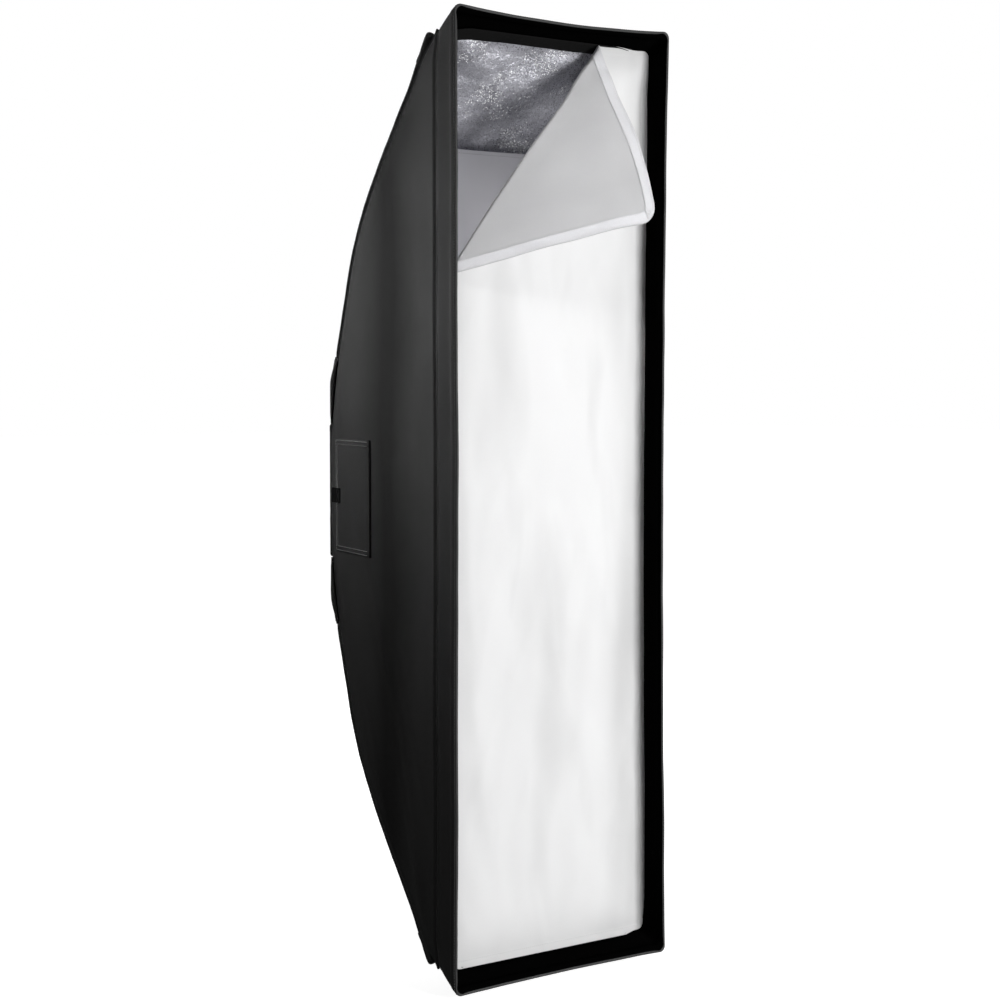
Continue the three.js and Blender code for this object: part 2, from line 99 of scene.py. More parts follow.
# seam between side and back panels: height above the centre line, y from FACE
SEAM = np.array([
    (0, -34), (60, -35), (120, -44), (180, -60), (240, -84), (300, -112), (365, -143),
    (430, -190), (486, -247), (541, -313), (593, -379), (644, -438), (690, -484)], float)
SEAM_Z, SEAM_Y = SEAM[:, 0], SEAM[:, 1] + FACE


def natural_spline(knots, values):
    """natural cubic spline; the result gives value and slope"""
    count, gap = len(knots), np.diff(knots)
    system, load = np.eye(count), np.zeros(count)
    for i in range(1, count - 1):
        system[i, i - 1:i + 2] = gap[i - 1], 2 * (gap[i - 1] + gap[i]), gap[i]
        load[i] = 6 * ((values[i + 1] - values[i]) / gap[i]
                       - (values[i] - values[i - 1]) / gap[i - 1])
    bend = np.linalg.solve(system, load)

    def evaluate(t):
        t = np.asarray(t, float)
        i = np.clip(np.searchsorted(knots, t) - 1, 0, count - 2)
        before, after, width = t - knots[i], knots[i + 1] - t, gap[i]
        left = values[i] / width - bend[i] * width / 6
        right = values[i + 1] / width - bend[i + 1] * width / 6
        value = ((bend[i] * after ** 3 + bend[i + 1] * before ** 3) / (6 * width)
                 + left * after + right * before)
        slope = ((-bend[i] * after ** 2 + bend[i + 1] * before ** 2) / (2 * width)
                 - left + right)
        return value, slope
    return evaluate


seam = natural_spline(SEAM_Z, SEAM_Y)


def half_width(y):
    y = np.asarray(y, float)
    return RIM_X - np.where(y > LIP_Y, TAPER * (y - LIP_Y), 0)


def seam_frame(z):
    """seam point (y, z) and outward normal (y, z) for a height above the centre line"""
    y, slope = seam(z)
    length = np.sqrt(1 + slope * slope)
    return y, np.asarray(z, float), 1 / length, -slope / length


def smooth(start, stop, t):
    """0 at start, 1 at stop, with level ends"""
    t = np.clip((np.asarray(t, float) - start) / (stop - start), 0, 1)
    return t * t * (3 - 2 * t)


def lattice_angle(ix, iy, seed):
    mixed = (ix.astype(np.int64) * 374761393 + iy.astype(np.int64) * 668265263
             + seed * 974634777) & 0xFFFFFFFF
    mixed = ((mixed ^ (mixed >> 13)) * 1274126177) & 0xFFFFFFFF
    return ((mixed ^ (mixed >> 16)) & 0xFFFF) / 65536.0 * 2 * math.pi


def noise(x, y, seed):
    """repeatable gradient noise on arrays"""
    x, y = np.broadcast_arrays(np.asarray(x, float), np.asarray(y, float))
    x0, y0 = np.floor(x), np.floor(y)
    dx, dy = x - x0, y - y0

    def gradient(i, j):
        angle = lattice_angle(x0 + i, y0 + j, seed)
        return np.cos(angle) * (dx - i) + np.sin(angle) * (dy - j)

    def fade(t):
        return t ** 3 * (t * (t * 6 - 15) + 10)
    across, up = fade(dx), fade(dy)
    low = gradient(0, 0) * (1 - across) + gradient(1, 0) * across
    high = gradient(0, 1) * (1 - across) + gradient(1, 1) * across
    return (low * (1 - up) + high * up) * 1.5


def ridge(x, y, seed, sharp):
    """soft creases: mostly flat with narrow folds"""
    return np.clip(1 - np.abs(noise(x, y, seed)) * sharp, 0, 1) ** 2


# --------------------------------------------------------------- materials
class Shader:
    """a node tree, with short calls for the nodes used here"""

    def __init__(self, tree):
        self.tree = tree

    def put(self, value, socket):
        if isinstance(value, bpy.types.NodeSocket):
            self.tree.links.new(value, socket)
        else:
            socket.default_value = value

    def node(self, kind, props=None, at=None, **named):
        """inputs are given by index in at, or by name"""
        made = self.tree.nodes.new("ShaderNode" + kind)
        for key, value in (props or {}).items():
            setattr(made, key, value)
        for index, value in (at or {}).items():
            self.put(value, made.inputs[index])
        for key, value in named.items():
            self.put(value, made.inputs[key.replace("_", " ")])
        return made

    def math(self, operation, a, b=0.0, c=0.0, clamp=False):
        props = {"operation": operation, "use_clamp": clamp}
        return self.node("Math", props, {0: a, 1: b, 2: c}).outputs[0]

    def scale_add(self, value, factor, offset):
        return self.math("MULTIPLY_ADD", value, factor, offset)

    def weighted_sum(self, *terms):
        """terms are (value, weight)"""
        *rest, (value, weight) = terms
        total = self.math("MULTIPLY", value, weight)
        for value, weight in reversed(rest):
            total = self.scale_add(value, weight, total)
        return total

    def above(self, value, start, gain):
        """how far a value is over start, times gain, clamped to 0..1"""
        return self.math("MULTIPLY", self.math("SUBTRACT", value, start), gain, clamp=True)

    def mix(self, factor, first, second):
        at = {0: factor, 6: first, 7: second}
        return self.node("Mix", {"data_type": "RGBA"}, at).outputs[2]

    def uv(self):
        return self.node("UVMap").outputs[0]

    def place(self):
        return self.node("TexCoord").outputs["Object"]

    def seen(self):
        return self.node("LightPath").outputs["Is Camera Ray"]

    def noise(self, vector, **settings):
        return self.node("TexNoise", Vector=vector, **settings).outputs["Fac"]

    def cells(self, vector, **settings):
        return self.node("TexVoronoi", {"feature": "F1"}, Vector=vector, **settings)

    def bump(self, height, strength, distance):
        made = self.node("Bump", Strength=strength, Distance=distance, Height=height)
        return made.outputs[0]

    def worn_edges(self, colour, start, gain, amount, bare):
        point = self.node("NewGeometry").outputs["Pointiness"]
        edge = self.above(point, start, gain)
        return self.mix(self.math("MULTIPLY", edge, amount), colour, bare)

    def weave(self, uv, pitch):
        """plain weave from a UV map in metres: over-and-under threads as a height"""
        parts = self.node("SeparateXYZ", at={0: uv})
        turns = 2 * math.pi / pitch
        warp, weft = [self.math("SINE", self.math("MULTIPLY", parts.outputs[i], turns))
                      for i in (0, 1)]
        checker = self.math("MULTIPLY", warp, weft)
        threads = self.math("ADD", self.math("ABSOLUTE", warp), self.math("ABSOLUTE", weft))
        return self.weighted_sum((checker, 0.5), (threads, 0.25))

    def finish(self, surface):
        self.put(surface.outputs[0], self.output.inputs[0])
        return self.material


def new_shader(name):
    material = bpy.data.materials.new(name)
    material.use_nodes = True
    material.node_tree.nodes.clear()
    shader = Shader(material.node_tree)
    shader.material = material
    shader.output = shader.node("OutputMaterial")
    return shader


def grey(value, tint=(1, 1, 1)):
    return (value * tint[0], value * tint[1], value * tint[2], 1)


def fabric(name, shades, rough, pitch=0.0012, bump=0.25, sheen=0.02, spec=0.25, painted_sheen_band=None):
    """woven cloth; an optional band paints a sheen: the gloss is dulled round one depth (object
    y) and full towards the sewn edges
    """
    sh = new_shader(name)
    uv, place = sh.uv(), sh.place()
    broad = sh.noise(place, Scale=5.0, Detail=3.0, Roughness=0.55)
    fine = sh.noise(place, Scale=260.0, Detail=2.0, Roughness=0.6)
    weave = sh.weave(uv, pitch)
    tone = sh.weighted_sum((weave, 0.22), (fine, 0.35), (broad, 0.55))
    colour = sh.mix(tone, grey(shades[0]), grey(shades[1]))
    normal = sh.bump(sh.scale_add(fine, 0.3, weave), bump, distance=0.0006)
    surface = sh.node("BsdfPrincipled", Base_Color=colour,
                      Roughness=sh.scale_add(broad, 0.16, rough - 0.08), Normal=normal,
                      Specular_IOR_Level=spec, Sheen_Weight=sheen, Sheen_Roughness=0.5)
    if painted_sheen_band:
        # painted sheen: glossier near the sewn edges, duller across the middle of the panel
        depth = sh.node("SeparateXYZ", at={0: place}).outputs[1]
        depth = sh.scale_add(broad, 0.06, depth)
        away = sh.math("ABSOLUTE", sh.math("SUBTRACT", depth, painted_sheen_band["middle"] + 0.03))
        away = sh.math("SUBTRACT", away, painted_sheen_band["start"])
        gloss = sh.math("DIVIDE", away, painted_sheen_band["width"], clamp=True)
        gloss = sh.math("SMOOTH_MIN", gloss, 1.0, 0.4)
        gloss = sh.scale_add(gloss, 1 - painted_sheen_band["least"], painted_sheen_band["least"])
        gloss = sh.math("MULTIPLY", gloss, spec)
        sh.put(gloss, surface.inputs["Specular IOR Level"])
    return sh.finish(surface)


def thread(name, shades, rough=0.6):
    return fabric(name, shades, rough, pitch=0.0008, bump=0.6, sheen=0.1)


def silver_laminate(name):
    """pebbled laminate: fine crushed facets, dull patches, and a scatter of painted glints, white
    dots that glow a little
    """
    sh = new_shader(name)
    uv = sh.uv()
    cells = sh.cells(uv, Scale=620.0, Randomness=1.0)
    grain = sh.noise(uv, Scale=1500.0, Detail=2.0, Roughness=0.6)
    broad = sh.noise(uv, Scale=11.0, Detail=4.0, Roughness=0.55)
    warp = sh.noise(uv, Scale=42.0, Detail=4.0, Roughness=0.62)
    facet = sh.node("SeparateColor", Color=cells.outputs["Color"])
    tone = sh.weighted_sum((facet.outputs[0], 0.18), (broad, 1.3), (warp, 0.5))
    tone = sh.math("SUBTRACT", tone, 0.54)
    colour = sh.mix(tone, (0.15, 0.15, 0.17, 1), (0.78, 0.78, 0.84, 1))
    height = sh.weighted_sum((cells.outputs["Distance"], 0.45), (grain, 0.30), (warp, 3.4))
    normal = sh.bump(height, strength=0.8, distance=0.0018)
    rough = sh.scale_add(facet.outputs[1], 0.22, 0.24)
    foil = sh.node("BsdfPrincipled", Base_Color=colour, Roughness=rough, Metallic=0.72,
                   Normal=normal)
    # painted glints: white dots with a little glow, thick in a few patches and thin elsewhere
    glint_patch = sh.noise(uv, Scale=13.0, Detail=3.0, Roughness=0.6)
    amount = sh.above(glint_patch, start=0.50, gain=3.2)
    chance = sh.scale_add(amount, 0.34, facet.outputs[2])
    picked = sh.math("GREATER_THAN", chance, 1.0)
    dot = sh.math("LESS_THAN", cells.outputs["Distance"], 0.42)
    painted_glint = sh.math("MULTIPLY", picked, dot)
    diffuse = sh.node("BsdfDiffuse", Color=(1, 1, 1, 1), Normal=normal)
    # the painted glints give off a little light of their own
    glow = sh.node("Emission", Strength=0.30)
    painted_glint_shader = sh.node("AddShader", at={0: diffuse.outputs[0], 1: glow.outputs[0]})
    return sh.finish(sh.node("MixShader", at={0: painted_glint, 1: foil.outputs[0],
                                              2: painted_glint_shader.outputs[0]}))


def white_cloth(name, shades, through, tint, edges=None, folds=0.0):
    """thin white nylon; through is the share of light it lets pass; folds sets painted shade
    along soft folds and edges sets painted shade towards the edges
    """
    sh = new_shader(name)
    uv = sh.uv()
    weave = sh.weave(uv, pitch=0.0011)
    broad = sh.noise(uv, Scale=7.0, Detail=4.0, Roughness=0.5)
    fine = sh.noise(uv, Scale=420.0, Detail=2.0, Roughness=0.6)
    tone = sh.weighted_sum((weave, 0.25), (fine, 0.3), (broad, 0.5))
    colour = sh.mix(tone, grey(shades[0], tint), grey(shades[1], tint))
    if folds:
        # painted shade along long soft folds
        def painted_fold_shade(turn, scale, start, gain, **settings):
            mapped = sh.node("Mapping", Vector=uv, Rotation=(0.0, 0.0, turn), Scale=scale)
            soft = sh.noise(mapped.outputs[0], Scale=1.0, **settings)
            return sh.above(soft, start, gain)
        wide = painted_fold_shade(turn=0.16, scale=(9.0, 2.0, 1.0), start=0.50, gain=3.6,
                          Detail=1.6, Roughness=0.45, Distortion=0.25)
        narrow = painted_fold_shade(turn=-0.5, scale=(15.0, 3.6, 1.0), start=0.55, gain=4.0,
                            Detail=2.0, Roughness=0.5, Distortion=0.3)
        painted_shade = sh.scale_add(narrow, 0.5, wide)
        colour = sh.mix(sh.math("MULTIPLY", painted_shade, folds), colour, grey(0.0, tint))
    if edges:
        # painted shade: the cloth is darkened towards its edges
        parts = sh.node("SeparateXYZ", at={0: uv})
        side, end = [sh.math("SUBTRACT", edges[key], sh.math("ABSOLUTE", parts.outputs[i]))
                     for i, key in enumerate(("half_x", "half_z"))]
        near = sh.math("SMOOTH_MIN", side, end, 0.04)
        near = sh.math("DIVIDE", near, edges["width"], clamp=True)
        near = sh.math("SUBTRACT", 1.0, near)
        near = sh.math("MULTIPLY", sh.math("MULTIPLY", near, near), edges["amount"])
        colour = sh.mix(near, colour, grey(0.0))
    crease = sh.noise(uv, Scale=16.0, Detail=5.0, Roughness=0.62)
    height = sh.scale_add(crease, 5.0, sh.scale_add(fine, 0.3, weave))
    normal = sh.bump(height, strength=0.16, distance=0.001)
    front = sh.node("BsdfPrincipled", Base_Color=colour, Roughness=0.62, Normal=normal,
                    Specular_IOR_Level=0.2, Sheen_Weight=0.15)
    passed = sh.node("BsdfTranslucent", Color=colour, Normal=normal)
    return sh.finish(sh.node("MixShader", at={0: through, 1: front.outputs[0],
                                              2: passed.outputs[0]}))


def metal(name, base, rough, wear, metallic=1.0, lines_scale=(900.0, 30.0, 900.0),
          tint=(1, 1, 1)):
    """brushed metal; lines_scale is smallest along the brushing"""
    sh = new_shader(name)
    place = sh.place()
    broad = sh.noise(place, Scale=60.0, Detail=4.0, Roughness=0.6)
    fine = sh.noise(place, Scale=2600.0, Detail=1.0, Roughness=0.5)
    stretch = sh.node("Mapping", Vector=place, Scale=lines_scale)
    lines = sh.noise(stretch.outputs[0], Scale=1.0, Detail=2.0, Roughness=0.6)
    tone = sh.weighted_sum((broad, 0.5), (lines, 0.4))
    colour = sh.mix(tone, grey(base * 0.72, tint), grey(min(1.0, base * 1.2), tint))
    colour = sh.worn_edges(colour, start=0.52, gain=8.0, amount=wear,
                           bare=grey(min(1.0, base * 1.8 + 0.05), tint))
    rough = sh.scale_add(lines, 0.18, sh.scale_add(broad, 0.14, rough - 0.16))
    normal = sh.bump(sh.math("ADD", fine, lines), strength=0.12, distance=0.0002)
    return sh.finish(sh.node("BsdfPrincipled", Base_Color=colour, Roughness=rough,
                             Metallic=metallic, Normal=normal))


def pile_tape(name, shades, bump=0.5, sheen=0.0, tint=(1, 1, 1)):
    """hook and loop tape: short matted pile"""
    sh = new_shader(name)
    uv = sh.uv()
    pile = sh.noise(uv, Scale=1400.0, Detail=3.0, Roughness=0.7)
    loops = sh.cells(uv, Scale=1100.0).outputs["Distance"]
    broad = sh.noise(uv, Scale=30.0, Detail=3.0)
    tone = sh.weighted_sum((pile, 0.6), (loops, 0.5), (broad, 0.3))
    colour = sh.mix(tone, grey(shades[0], tint), grey(shades[1], tint))
    normal = sh.bump(sh.math("ADD", pile, loops), bump, distance=0.0008)
    return sh.finish(sh.node("BsdfPrincipled", Base_Color=colour, Roughness=0.9,
                             Normal=normal, Sheen_Weight=sheen, Specular_IOR_Level=0.1))


def plastic(name, base, rough):
    sh = new_shader(name)
    place = sh.place()
    grain = sh.cells(place, Scale=1500.0).outputs["Distance"]
    broad = sh.noise(place, Scale=50.0, Detail=4.0)
    colour = sh.mix(broad, grey(base), grey(base * 1.9))
    colour = sh.worn_edges(colour, start=0.53, gain=7.0, amount=0.5, bare=grey(base * 4))
    normal = sh.bump(grain, strength=0.25, distance=0.0003)
    return sh.finish(sh.node("BsdfPrincipled", Base_Color=colour, Normal=normal,
                             Roughness=sh.scale_add(broad, 0.2, rough - 0.1)))


# shades are the darkest and lightest grey of a cloth; lengths here are in metres
MATERIALS = {
    "black": fabric("black_nylon", shades=(0.006, 0.012), rough=0.60, spec=0.22),
    # side panels and access flaps: black nylon with a painted sheen band, glossier towards the
    # sewn edges
    "black_side_painted_sheen": fabric("black_nylon_side_painted_sheen", shades=(0.005, 0.010), rough=0.54, sheen=0.01,
                         spec=0.36, painted_sheen_band=dict(middle=(-300 + FACE) * MM, start=0.02,
                                                width=0.13, least=0.25)),
    "thread_light": thread("light_thread", shades=(0.62, 0.85)),
    "black_edge": fabric("black_binding", shades=(0.008, 0.016), rough=0.56, pitch=0.0018,
                         bump=0.3, spec=0.38),
    # the lip's inner face: a near-black copy of the lip nylon with no gloss or sheen, painted
    # shade
    "lip": fabric("lip_nylon", shades=(0.0006, 0.0014), rough=0.9, sheen=0.0, spec=0.0),
    # the lip's outer face: a lighter, glossier copy of the black nylon, painted light and sheen
    "lip_out": fabric("lip_nylon_outer", shades=(0.007, 0.013), rough=0.54, spec=0.42),
    "web": fabric("black_tape", shades=(0.006, 0.016), rough=0.75, pitch=0.0022, bump=0.7,
                  sheen=0.06),
    "silver": silver_laminate("silver_laminate"),
    # the diffuser's colour carries painted shade in soft folds and towards its edges
    "diffuser": white_cloth("diffuser_nylon", shades=(0.84, 0.95), through=0.40,
                            tint=(1, 1, 1.0), folds=0.16,
                            edges=dict(half_x=0.200, half_z=0.692, width=0.10, amount=0.24)),
    # the sheet's back side: a darker copy of the diffuser nylon, painted shade, with painted
    # shade in its folds too
    "diffuser_back_shaded": white_cloth("diffuser_nylon_inside_shaded", shades=(0.53, 0.63), through=0.30,
                                 tint=(0.985, 0.985, 1.0), folds=0.10),
    "baffle": white_cloth("baffle_nylon", shades=(0.90, 0.98), through=0.5,
                          tint=(0.975, 0.97, 1.0)),
    "tape": pile_tape("loop_tape", shades=(0.50, 0.64), bump=0.35, sheen=0.1,
                      tint=(0.97, 0.97, 1.0)),
    "tab": pile_tape("tab_tape", shades=(0.0025, 0.007)),
    "hook": pile_tape("hook_tape", shades=(0.0012, 0.004)),
    "thread": thread("grey_thread", shades=(0.05, 0.11)),
    "thread_dark": thread("black_thread", shades=(0.012, 0.03)),
    "thread_white": thread("white_thread", shades=(0.52, 0.70), rough=0.7),
    "ring": metal("ring_anodised", base=0.045, rough=0.42, wear=0.25, metallic=0.7),
    "insert": metal("insert_turned", base=0.60, rough=0.36, wear=0.3, tint=(1, 1, 1.02)),
    "steel": metal("zinc_steel", base=0.46, rough=0.38, wear=0.4, tint=(1, 1, 1.03)),
    "rod": metal("spring_rod", base=0.48, rough=0.34, wear=0.2,
                 lines_scale=(900.0, 900.0, 18.0)),
    "plastic": plastic("moulded_black", base=0.013, rough=0.5),
}


# ------------------------------------------------------------ mesh builders
def merge_points(verts, faces, uvs, step=1e-3):
    """merge equal points (mm) and drop faces that fold to nothing"""
    first, keep, index = {}, [], []
    for i, point in enumerate(np.round(verts / step).astype(np.int64)):
        key = tuple(point)
        if key not in first:
            first[key] = len(keep)
            keep.append(i)
        index.append(first[key])
    merged = []
    for face in faces:
        ring = []
        for i in face:
            if not ring or ring[-1] != index[i]:
                ring.append(index[i])
        if len(ring) > 1 and ring[0] == ring[-1]:
            ring.pop()
        if len(ring) >= 3 and len(set(ring)) == len(ring):
            merged.append(ring)
    return verts[keep], merged, uvs[keep]


def point_normals(verts, faces):
    normals = np.zeros_like(verts)
    for face in faces:
        start = verts[face[0]]
        for i in range(1, len(face) - 1):
            cross = np.cross(verts[face[i]] - start, verts[face[i + 1]] - start)
            for j in (face[0], face[i], face[i + 1]):
                normals[j] += cross
    return normals / np.maximum(np.linalg.norm(normals, axis=1), 1e-12)[:, None]


def make(name, verts, faces, uvs, mats, slots=None):
    """a closed smooth mesh facing outwards; verts in mm, uvs per vertex in metres"""
    mesh = bpy.data.meshes.new(name)
    mesh.from_pydata([tuple(v * MM) for v in np.asarray(verts, float)], [],
                     [list(map(int, face)) for face in faces])
    mesh.update()
    layer = mesh.uv_layers.new(name="UVMap")
    loops = np.zeros(len(mesh.loops), np.int32)
    mesh.loops.foreach_get("vertex_index", loops)
    layer.data.foreach_set("uv", np.asarray(uvs, np.float32)[loops].ravel())
    for key in mats:
        mesh.materials.append(MATERIALS[key])
    if slots is not None:
        mesh.polygons.foreach_set("material_index", np.asarray(slots, np.int32))
    mesh.polygons.foreach_set("use_smooth", np.ones(len(mesh.polygons), bool))
    bm = bmesh.new()
    bm.from_mesh(mesh)
    if bm.calc_volume(signed=True) < 0:
        bmesh.ops.reverse_faces(bm, faces=bm.faces)
        bm.to_mesh(mesh)
    bm.free()
    obj = bpy.data.objects.new(name, mesh)
    bpy.context.scene.collection.objects.link(obj)
    return obj


def flat_uv(u, v):
    """UVs in metres from two arrays in mm"""
    return np.stack(np.broadcast_arrays(u, v), -1).reshape(-1, 2) * MM


def border_edges(faces):
    """directed edges that one face only has, in face order"""
    edges = dict.fromkeys(
        pair for face in faces for pair in zip(face, face[1:] + face[:1]))
    return [(a, b) for a, b in edges if (b, a) not in edges]


def shell(name, outer, inner, faces, border, uvs, mats, inner_slot=0, edge_slot=0):
    """closed solid between two skins with the same faces"""
    count = len(outer)
    every = (faces + [[i + count for i in reversed(face)] for face in faces]
             + [[b, a, a + count, b + count] for a, b in border])
    slots = ([0] * len(faces) + [inner_slot] * len(faces) + [edge_slot] * len(border))
    return make(name, np.vstack([outer, inner]), every, np.vstack([uvs, uvs]), mats, slots)


def grid_faces(rows, columns, closed=False, flip=False, keep=None):
    faces = []
    for i in range(rows if closed else rows - 1):
        for j in range(columns if closed else columns - 1):
            if keep is not None and not keep(i, j):
                continue
            down, right = (i + 1) % rows, (j + 1) % columns
            a, b = i * columns + j, down * columns + j
            c, d = down * columns + right, i * columns + right
            faces.append([a, d, c, b] if flip else [a, b, c, d])
    return faces


def sheet(name, grid, uv, thick, mats, flip=False, inner_slot=0, keep=None):
    """A thin solid whose outer skin is a grid of points. uv is two arrays in mm; thick is a
    number or a function of the points."""
    faces = grid_faces(*grid.shape[:2], flip=flip, keep=keep)
    verts, faces, uvs = merge_points(grid.reshape(-1, 3), faces, flat_uv(*uv))
    depth = np.broadcast_to(thick(verts) if callable(thick) else thick, len(verts))
    inner = verts - point_normals(verts, faces) * depth[:, None]
    return shell(name, verts, inner, faces, border_edges(faces), uvs, mats, inner_slot)


def closed_band(name, rings, around, across, mats, slots=None):
    """a loop of closed rings; around and across are the UV runs in mm"""
    rings = np.asarray(rings)
    faces = grid_faces(*rings.shape[:2], closed=True)
    return make(name, rings.reshape(-1, 3), faces, flat_uv(around[:, None], across), mats,
                slots)


def run_length(points):
    """distance along a path at each of its points"""
    steps = np.linalg.norm(np.diff(points, axis=0), axis=1)
    return np.concatenate([[0], np.cumsum(steps)])


def sample(values, run, query):
    return np.stack([np.interp(query, run, values[:, k]) for k in range(3)], 1)


def resample(points, step):
    points = np.asarray(points, float)
    run = run_length(points)
    count = max(2, int(round(run[-1] / step)) + 1)
    return sample(points, run, np.linspace(0, run[-1], count))


def circle(count):
    return np.linspace(0, 2 * math.pi, count, endpoint=False)


def unit(vector):
    return vector / np.linalg.norm(vector)


def tangents(points):
    along = np.gradient(points, axis=0)
    return along / np.linalg.norm(along, axis=1)[:, None]


def loft(name, rings, material):
    """closed tube through rings of equal point count (mm), capped with fans"""
    rings = np.array(rings, float)
    rows, count = rings.shape[:2]
    run = run_length(rings.mean(axis=1))
    uvs = flat_uv(np.array([run_length(ring) for ring in rings]), run[:, None])
    faces = []
    for k in range(rows - 1):
        for i in range(count):
            a, b = k * count + i, k * count + (i + 1) % count
            faces.append([a, b, b + count, a + count])
    for cap, k in enumerate((0, rows - 1)):
        centre = rows * count + cap
        for i in range(count):
            a, b = k * count + i, k * count + (i + 1) % count
            faces.append([centre, a, b] if cap else [centre, b, a])
    verts = np.vstack([rings.reshape(-1, 3), rings[0].mean(0), rings[-1].mean(0)])
    return make(name, verts, faces, np.vstack([uvs, (0, 0), (0, run[-1] * MM)]), [material])


def tube(name, points, radius, material, count):
    """round tube along a path, its frame carried without twist"""
    points = np.asarray(points, float)
    along = tangents(points)
    up = np.array([0, 0, 1.0]) if abs(along[0][2]) < 0.9 else np.array([1.0, 0, 0])
    angle, rings = circle(count), []
    for point, tangent, size in zip(points, along, np.broadcast_to(radius, len(points))):
        across = unit(np.cross(tangent, up))
        up = np.cross(across, tangent)
        rings.append(point + np.outer(np.cos(angle), across) * size
                     + np.outer(np.sin(angle), up) * size)
    return loft(name, rings, material)


# a stitch's profile: place along its length, share of its full height
STITCH_PROFILE = ((-0.5, 0.0), (-0.36, 0.8), (0.0, 1.0), (0.36, 0.8), (0.5, 0.0))


def stitches(name, lines, normals, material, pitch=4.2, length=2.9, width=0.75, height=0.45):
    """Sewn stitches as small rounded bars along paths in mm. Each line has one surface
    normal, or one per point."""
    verts, faces, uvs = [], [], []
    for line, normal in zip(lines, normals):
        line = np.asarray(line, float)
        points, run = resample(line, pitch), run_length(line)
        normal = np.broadcast_to(np.asarray(normal, float), line.shape)
        normal = sample(normal, run, np.linspace(0, run[-1], len(points)))
        for k in range(len(points) - 1):
            along, up = unit(points[k + 1] - points[k]), unit(normal[k])
            across = unit(np.cross(along, up))
            middle = (points[k] + points[k + 1]) / 2
            base = len(verts)
            for place, rise in STITCH_PROFILE:
                wide = across * width * (0.35 + 0.65 * rise)
                centre = middle + along * place * length
                foot, crown = centre - up * 0.15, centre + up * height * rise
                verts += [foot + wide / 2, crown + wide / 3, crown - wide / 3,
                          foot - wide / 2]
                uvs += [(place * 0.003, v) for v in (0, 0.0003, 0.0006, 0.0009)]
            for i in range(len(STITCH_PROFILE) - 1):
                for j in range(4):
                    a, b = base + i * 4 + j, base + i * 4 + (j + 1) % 4
                    faces.append([a, a + 4, b + 4, b])
            last = len(verts) - 1
            faces.append([base, base + 1, base + 2, base + 3])
            faces.append([last, last - 1, last - 2, last - 3])
    return make(name, verts, faces, uvs, [material])


def give(obj, body, slot, *nodes):
    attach(obj, body)
    if nodes:
        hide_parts(*nodes)


def stations(stops, counts):
    """evenly spaced values between each pair of stops"""
    return np.unique(np.concatenate(
        [np.linspace(a, b, count) for a, b, count in zip(stops, stops[1:], counts)]))


def mesh_grid(first, second):
    return np.meshgrid(first, second, indexing="ij")


def locate(knots, value):
    """cell index and fraction within it"""
    i = np.clip(np.searchsorted(knots, value) - 1, 0, len(knots) - 2)
    return i, (value - knots[i]) / (knots[i + 1] - knots[i])


def bilinear(grid, i, part_i, j, part_j):
    return (grid[i, j] * (1 - part_i) * (1 - part_j) + grid[i + 1, j] * part_i * (1 - part_j)
            + grid[i, j + 1] * (1 - part_i) * part_j + grid[i + 1, j + 1] * part_i * part_j)


# ------------------------------------------------- how rim and corners pull in
def rim_bow(side, z):
    """how far a long side of the rim is pulled in (mm)"""
    middle = 1 - (np.asarray(z, float) / RIM_Z) ** 2
    wave = noise(np.asarray(z) / 190.0, 0.3 + side, 11) * 1.3 * smooth(0, 0.12, middle)
    return (7.5 if side > 0 else 2.0) * middle + wave


def rim_sag(end, x):
    """how far the top or bottom of the rim is pulled in (mm)"""
    middle = 1 - (np.asarray(x, float) / RIM_X) ** 2
    wave = noise(np.asarray(x) / 120.0, 5.3 + end, 12) * 1.2 * smooth(0, 0.15, middle)
    return (8.0 if end > 0 else 3.5) * middle + wave


def panel_bow(side, y, z):
    """the rim's bow as it fades out behind the lip"""
    return rim_bow(side, z) * smooth(220, 0, y - LIP_Y) * 0.75


def tuck(x, y, z):
    """how much a corner behind the lip is drawn in, from 0 to 1"""
    return (smooth(RIM_X - 70, RIM_X - 4, np.abs(x))
            * smooth(LIP_Z - 62, LIP_Z - 2, np.abs(z)) * smooth(80, 0, y - LIP_Y))


# ------------------------------------------------------------- side panels
PANEL_Z = 688                   # half height of a side panel
_, _, FLAP_Y0, FLAP_Y1, FLAP_Z0, FLAP_Z1 = box_mm("access_flap_left")
WINDOW_INSET = 13               # the opening under the access flap
WINDOW_Y = FLAP_Y0 + WINDOW_INSET, FLAP_Y1 - WINDOW_INSET
WINDOW_Z = FLAP_Z0 + WINDOW_INSET, FLAP_Z1 - WINDOW_INSET


def side_wrinkle(side, y, z):
    """how far a side panel stands out of its flat cut, in mm; zero along its edges"""
    rear, _ = seam(np.minimum(np.abs(z), 689))
    edge = smooth(0, 70, y - LIP_Y) * smooth(0, 45, rear - y)
    outside = np.maximum(np.maximum(FLAP_Y0 - y, y - FLAP_Y1),
                         np.maximum(FLAP_Z0 - z, z - FLAP_Z1))
    near_flap = 1 - smooth(30, 0, outside)
    broad = noise(y / 150, z / 260, 3 + side) * 2.4
    long_fold = (ridge(y / 160 + z / 330 * side, z / 620, 5 + side, 3.2) * 2.2
                 * smooth(120, -420, z))
    low_fold = ridge(y / 90 - z / 170, z / 500 + 3, 9 + side, 3.0) * 1.2 * smooth(-60, -500, z)
    billow = 2.5 * edge
    return (broad + long_fold + low_fold) * edge * (0.3 + 0.7 * near_flap) + billow


def side_surface(side, y, z, out=0.0):
    """points of a side panel, moved out by a distance"""
    rise = side_wrinkle(side, y, z) + out
    x = half_width(y) - panel_bow(side, y, z) + rise * TAPER_COS
    pull = tuck(x, y, z)
    return np.stack([side * (x - TUCK_X * pull), y + rise * TAPER * TAPER_COS,
                     z - np.sign(z) * TUCK_Z * pull], -1)


